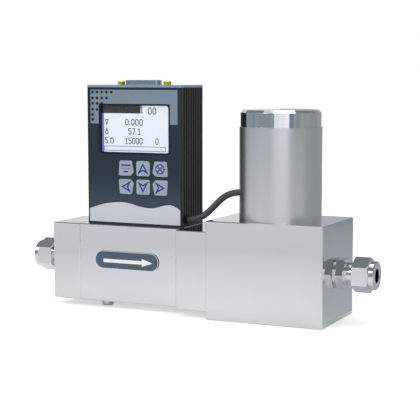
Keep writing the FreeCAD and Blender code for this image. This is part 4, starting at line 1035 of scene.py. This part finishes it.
@dataclass
class Studio:
    """Floor, white surround, soft lamps, grey cards that only polished steel sees, and the camera.

    All lengths but the lens are in metres.
    """

    floor_half: float = 8.0
    ambient: float = 0.72
    floor_colour: str = "#dddddd"
    floor_lift: float = 0.495
    # The glow that a mirror adds to the floor: how much close to the object and how much further out
    mirrored_colour: str = "#fffaf4"
    mirrored_near: float = 0.185
    mirrored_far: float = -0.165
    mirrored_start: float = 0.03
    mirrored_reach: float = 0.32
    # Each lamp: its name, place, width and power
    soft_lamps: tuple = (("key_softbox", (-0.55, -0.85, 1.05), 0.8, 6.5),
                         ("top_softbox", (0.1, 0.15, 1.2), 0.7, 3.5))
    aim: tuple = (0.0, 0.0, 0.06)
    # The cards' soft folds, and their gain in brightness close to the object
    unevenness: float = 0.14
    fold_scale: float = 2.6
    fold_drop: float = 0.12
    near: float = 0.1
    far: float = 0.55
    near_gain: float = 1.6
    # Each upright card: its name, first and last angle in degrees, lower and upper edge, and colour
    walls: tuple = (("right_card", -32, 84, 0.0005, 0.9, "#979c9e"),
                    ("back_card", 84, 109, 0.0005, 0.9, "#b4b8ba"),
                    ("blue_flag", -44, -32, 0.0005, 0.9, "#6f8796"),
                    ("white_strip", -85, -44, 0.02, 0.9, "#f4f5f6"),
                    ("left_card", -192, -86, 0.02, 0.5, "#8a97a0"),
                    ("dark_flag", 126, 168, 0.0005, 0.5, "#3c3d40"))
    card_radius: float = 1.3
    ring_radii: tuple = (0.38, 1.6)
    ring_height: float = 1.0
    ring_colour: str = "#7c8386"
    # Each lying card: its name, where it starts along x, and where it starts and ends along y
    lying: tuple = (("floor_card", -1.3, 0.035, 1.3), ("side_card", 0.0965, -0.012, 0.035))
    lying_height: float = 0.0004
    lying_colour: str = "#93989c"
    camera_place: tuple = (0.3327, -0.7133, 0.1498)
    camera_tilt: float = 90 - 6.18
    camera_turn: float = 24.49
    camera_lens: float = 106.2

    def build(self) -> None:
        """Sets everything up."""
        self.surround()
        self.floor()
        self.lamps()
        self.cards()
        self.camera()
        bpy.context.scene.view_settings.view_transform = "Standard"

    def seen(self, tree: Tree) -> Socket:
        """One for rays from the camera and through glass, and zero for all others."""
        path = add(tree, "ShaderNodeLightPath", {}, {})
        return maths(tree, "MAXIMUM", path.outputs["Is Camera Ray"], path.outputs["Is Transmission Ray"])

    def surround(self) -> None:
        """A white surround that lights the object at a plain level."""
        world = bpy.data.worlds.new("studio_surround")
        bpy.context.scene.world = world
        tree = blank(world)
        strength = ranged(tree, self.seen(tree), 0.0, 1.0, self.ambient, 1.0)
        light = add(tree, "ShaderNodeBackground", {}, {"Color": WHITE, "Strength": strength})
        add(tree, "ShaderNodeOutputWorld", {}, {"Surface": light.outputs[0]})

    def floor(self) -> None:
        """A pale floor that keeps the object's shadow."""
        half = self.floor_half
        mesh = bpy.data.meshes.new("studio_floor")
        mesh.from_pydata([(-half, -half, 0), (half, -half, 0), (half, half, 0), (-half, half, 0)], [],
                         [(0, 1, 2, 3)])
        floor = put("studio_floor", mesh)
        material = bpy.data.materials.new("pale_floor_paint")
        tree = blank(material)
        place = add(tree, "ShaderNodeTexCoord", {}, {}).outputs["Object"]
        mirrored = ranged(tree, vector(tree, "LENGTH", place), self.mirrored_start, self.mirrored_reach,
                          self.mirrored_near, self.mirrored_far)
        mirror = add(tree, "ShaderNodeLightPath", {}, {}).outputs["Is Glossy Ray"]
        glossy = maths(tree, "MULTIPLY", mirror, mirrored)
        lift = maths(tree, "MULTIPLY_ADD", self.seen(tree), self.floor_lift, glossy)
        matt = add(tree, "ShaderNodeBsdfDiffuse", {}, {"Color": linear(self.floor_colour)})
        warm = blend(tree, mirror, WHITE, linear(self.mirrored_colour))
        glow = add(tree, "ShaderNodeEmission", {}, {"Color": warm, "Strength": lift})
        both = add(tree, "ShaderNodeAddShader", {}, {0: matt.outputs[0], 1: glow.outputs[0]})
        add(tree, "ShaderNodeOutputMaterial", {}, {"Surface": both.outputs[0]})
        mesh.materials.append(material)

    def lamps(self) -> None:
        """A large soft lamp over the front left, and a wide one overhead."""
        for name, place, size, power in self.soft_lamps:
            lamp = bpy.data.lights.new(name, "AREA")
            lamp.energy = power
            lamp.size = size
            made = put(name, lamp)
            made.location = place
            made.rotation_mode = "QUATERNION"
            made.rotation_quaternion = (Vector(self.aim) - Vector(place)).to_track_quat("-Z", "Y")

    def card(self, name: str, grid: np.ndarray, colour: str) -> None:
        """A card that only mirrors see: it lights nothing, casts no shadow and never shows itself.

        Args:
            name: its name.
            grid: its points as rows and columns.
            colour: how bright it looks.
        """
        rows, columns = grid.shape[:2]
        index = np.arange(rows * columns).reshape(rows, columns)
        quads = np.stack([index[:-1, :-1], index[1:, :-1], index[1:, 1:], index[:-1, 1:]], -1)
        mesh = bpy.data.meshes.new(name)
        mesh.from_pydata(grid.reshape(-1, 3), [], quads.reshape(-1, 4).tolist())
        made = put(name, mesh)
        material = bpy.data.materials.new(name + "_cloth")
        tree = blank(material)
        place = add(tree, "ShaderNodeTexCoord", {}, {}).outputs["Object"]
        hang = vector(tree, "MULTIPLY", place, (1.0, 1.0, self.fold_drop))
        fold = noise(tree, hang, self.fold_scale, 2.0)
        even = ranged(tree, fold, NOISE_LOW, NOISE_HIGH, 1 - self.unevenness, 1 + self.unevenness)
        fall = ranged(tree, vector(tree, "LENGTH", place), self.near, self.far, self.near_gain, 1.0)
        level = maths(tree, "MULTIPLY", even, fall)
        glow = add(tree, "ShaderNodeEmission", {}, {"Color": linear(colour), "Strength": level})
        add(tree, "ShaderNodeOutputMaterial", {}, {"Surface": glow.outputs[0]})
        mesh.materials.append(material)
        made.visible_camera = False
        made.visible_diffuse = False
        made.visible_shadow = False
        made.visible_transmission = False

    def wall(self, start: float, end: float, low: float, high: float) -> np.ndarray:
        """A curved upright card round the object: the radius times cosine and sine of its angles.

        Args:
            start, end: its angles in degrees, where 0 is +X and 90 is +Y.
            low, high: its lower and upper edge in metres.

        Returns:
            Its points as rows and columns.
        """
        angle, height = np.meshgrid(np.radians(np.linspace(start, end, 40)), [low, high], indexing="ij")
        return np.stack([self.card_radius * np.cos(angle), self.card_radius * np.sin(angle), height], -1)

    def cards(self) -> None:
        """Cards that shape the metal: upright ones all round, a ring overhead and two on the floor."""
        for name, start, end, low, high, colour in self.walls:
            self.card(name, self.wall(start, end, low, high), colour)
        turn, radius = np.meshgrid(np.linspace(0, 2 * np.pi, 61), self.ring_radii, indexing="ij")
        height = np.full(turn.shape, self.ring_height)
        ring = np.stack([radius * np.cos(turn), radius * np.sin(turn), height], -1)
        self.card("ceiling_ring", ring, self.ring_colour)
        for name, start, low, high in self.lying:
            x, y = np.meshgrid([start, self.card_radius], [low, high], indexing="ij")
            height = np.full(x.shape, self.lying_height)
            self.card(name, np.stack([x, y, height], -1), self.lying_colour)

    def camera(self) -> None:
        """The camera at the photograph's angle."""
        lens = bpy.data.cameras.new("camera")
        lens.lens = self.camera_lens
        lens.sensor_width = 36
        made = put("camera", lens)
        made.location = self.camera_place
        made.rotation_euler = (math.radians(self.camera_tilt), 0, math.radians(self.camera_turn))
        bpy.context.scene.camera = made


def main() -> None:
    """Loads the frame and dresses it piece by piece."""
    logging.basicConfig(level=logging.INFO, format="%(name)s: %(message)s")
    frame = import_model()
    paints = Paintbox()
    Studio().build()
    Construction(frame["nodes"], paints).dress()
    for kind in (FrontLabel, Display, KeySymbols, ArrowPlate, SignalCable):
        kind(frame["nodes"], paints).build()


if __name__ == "__main__":
    main()
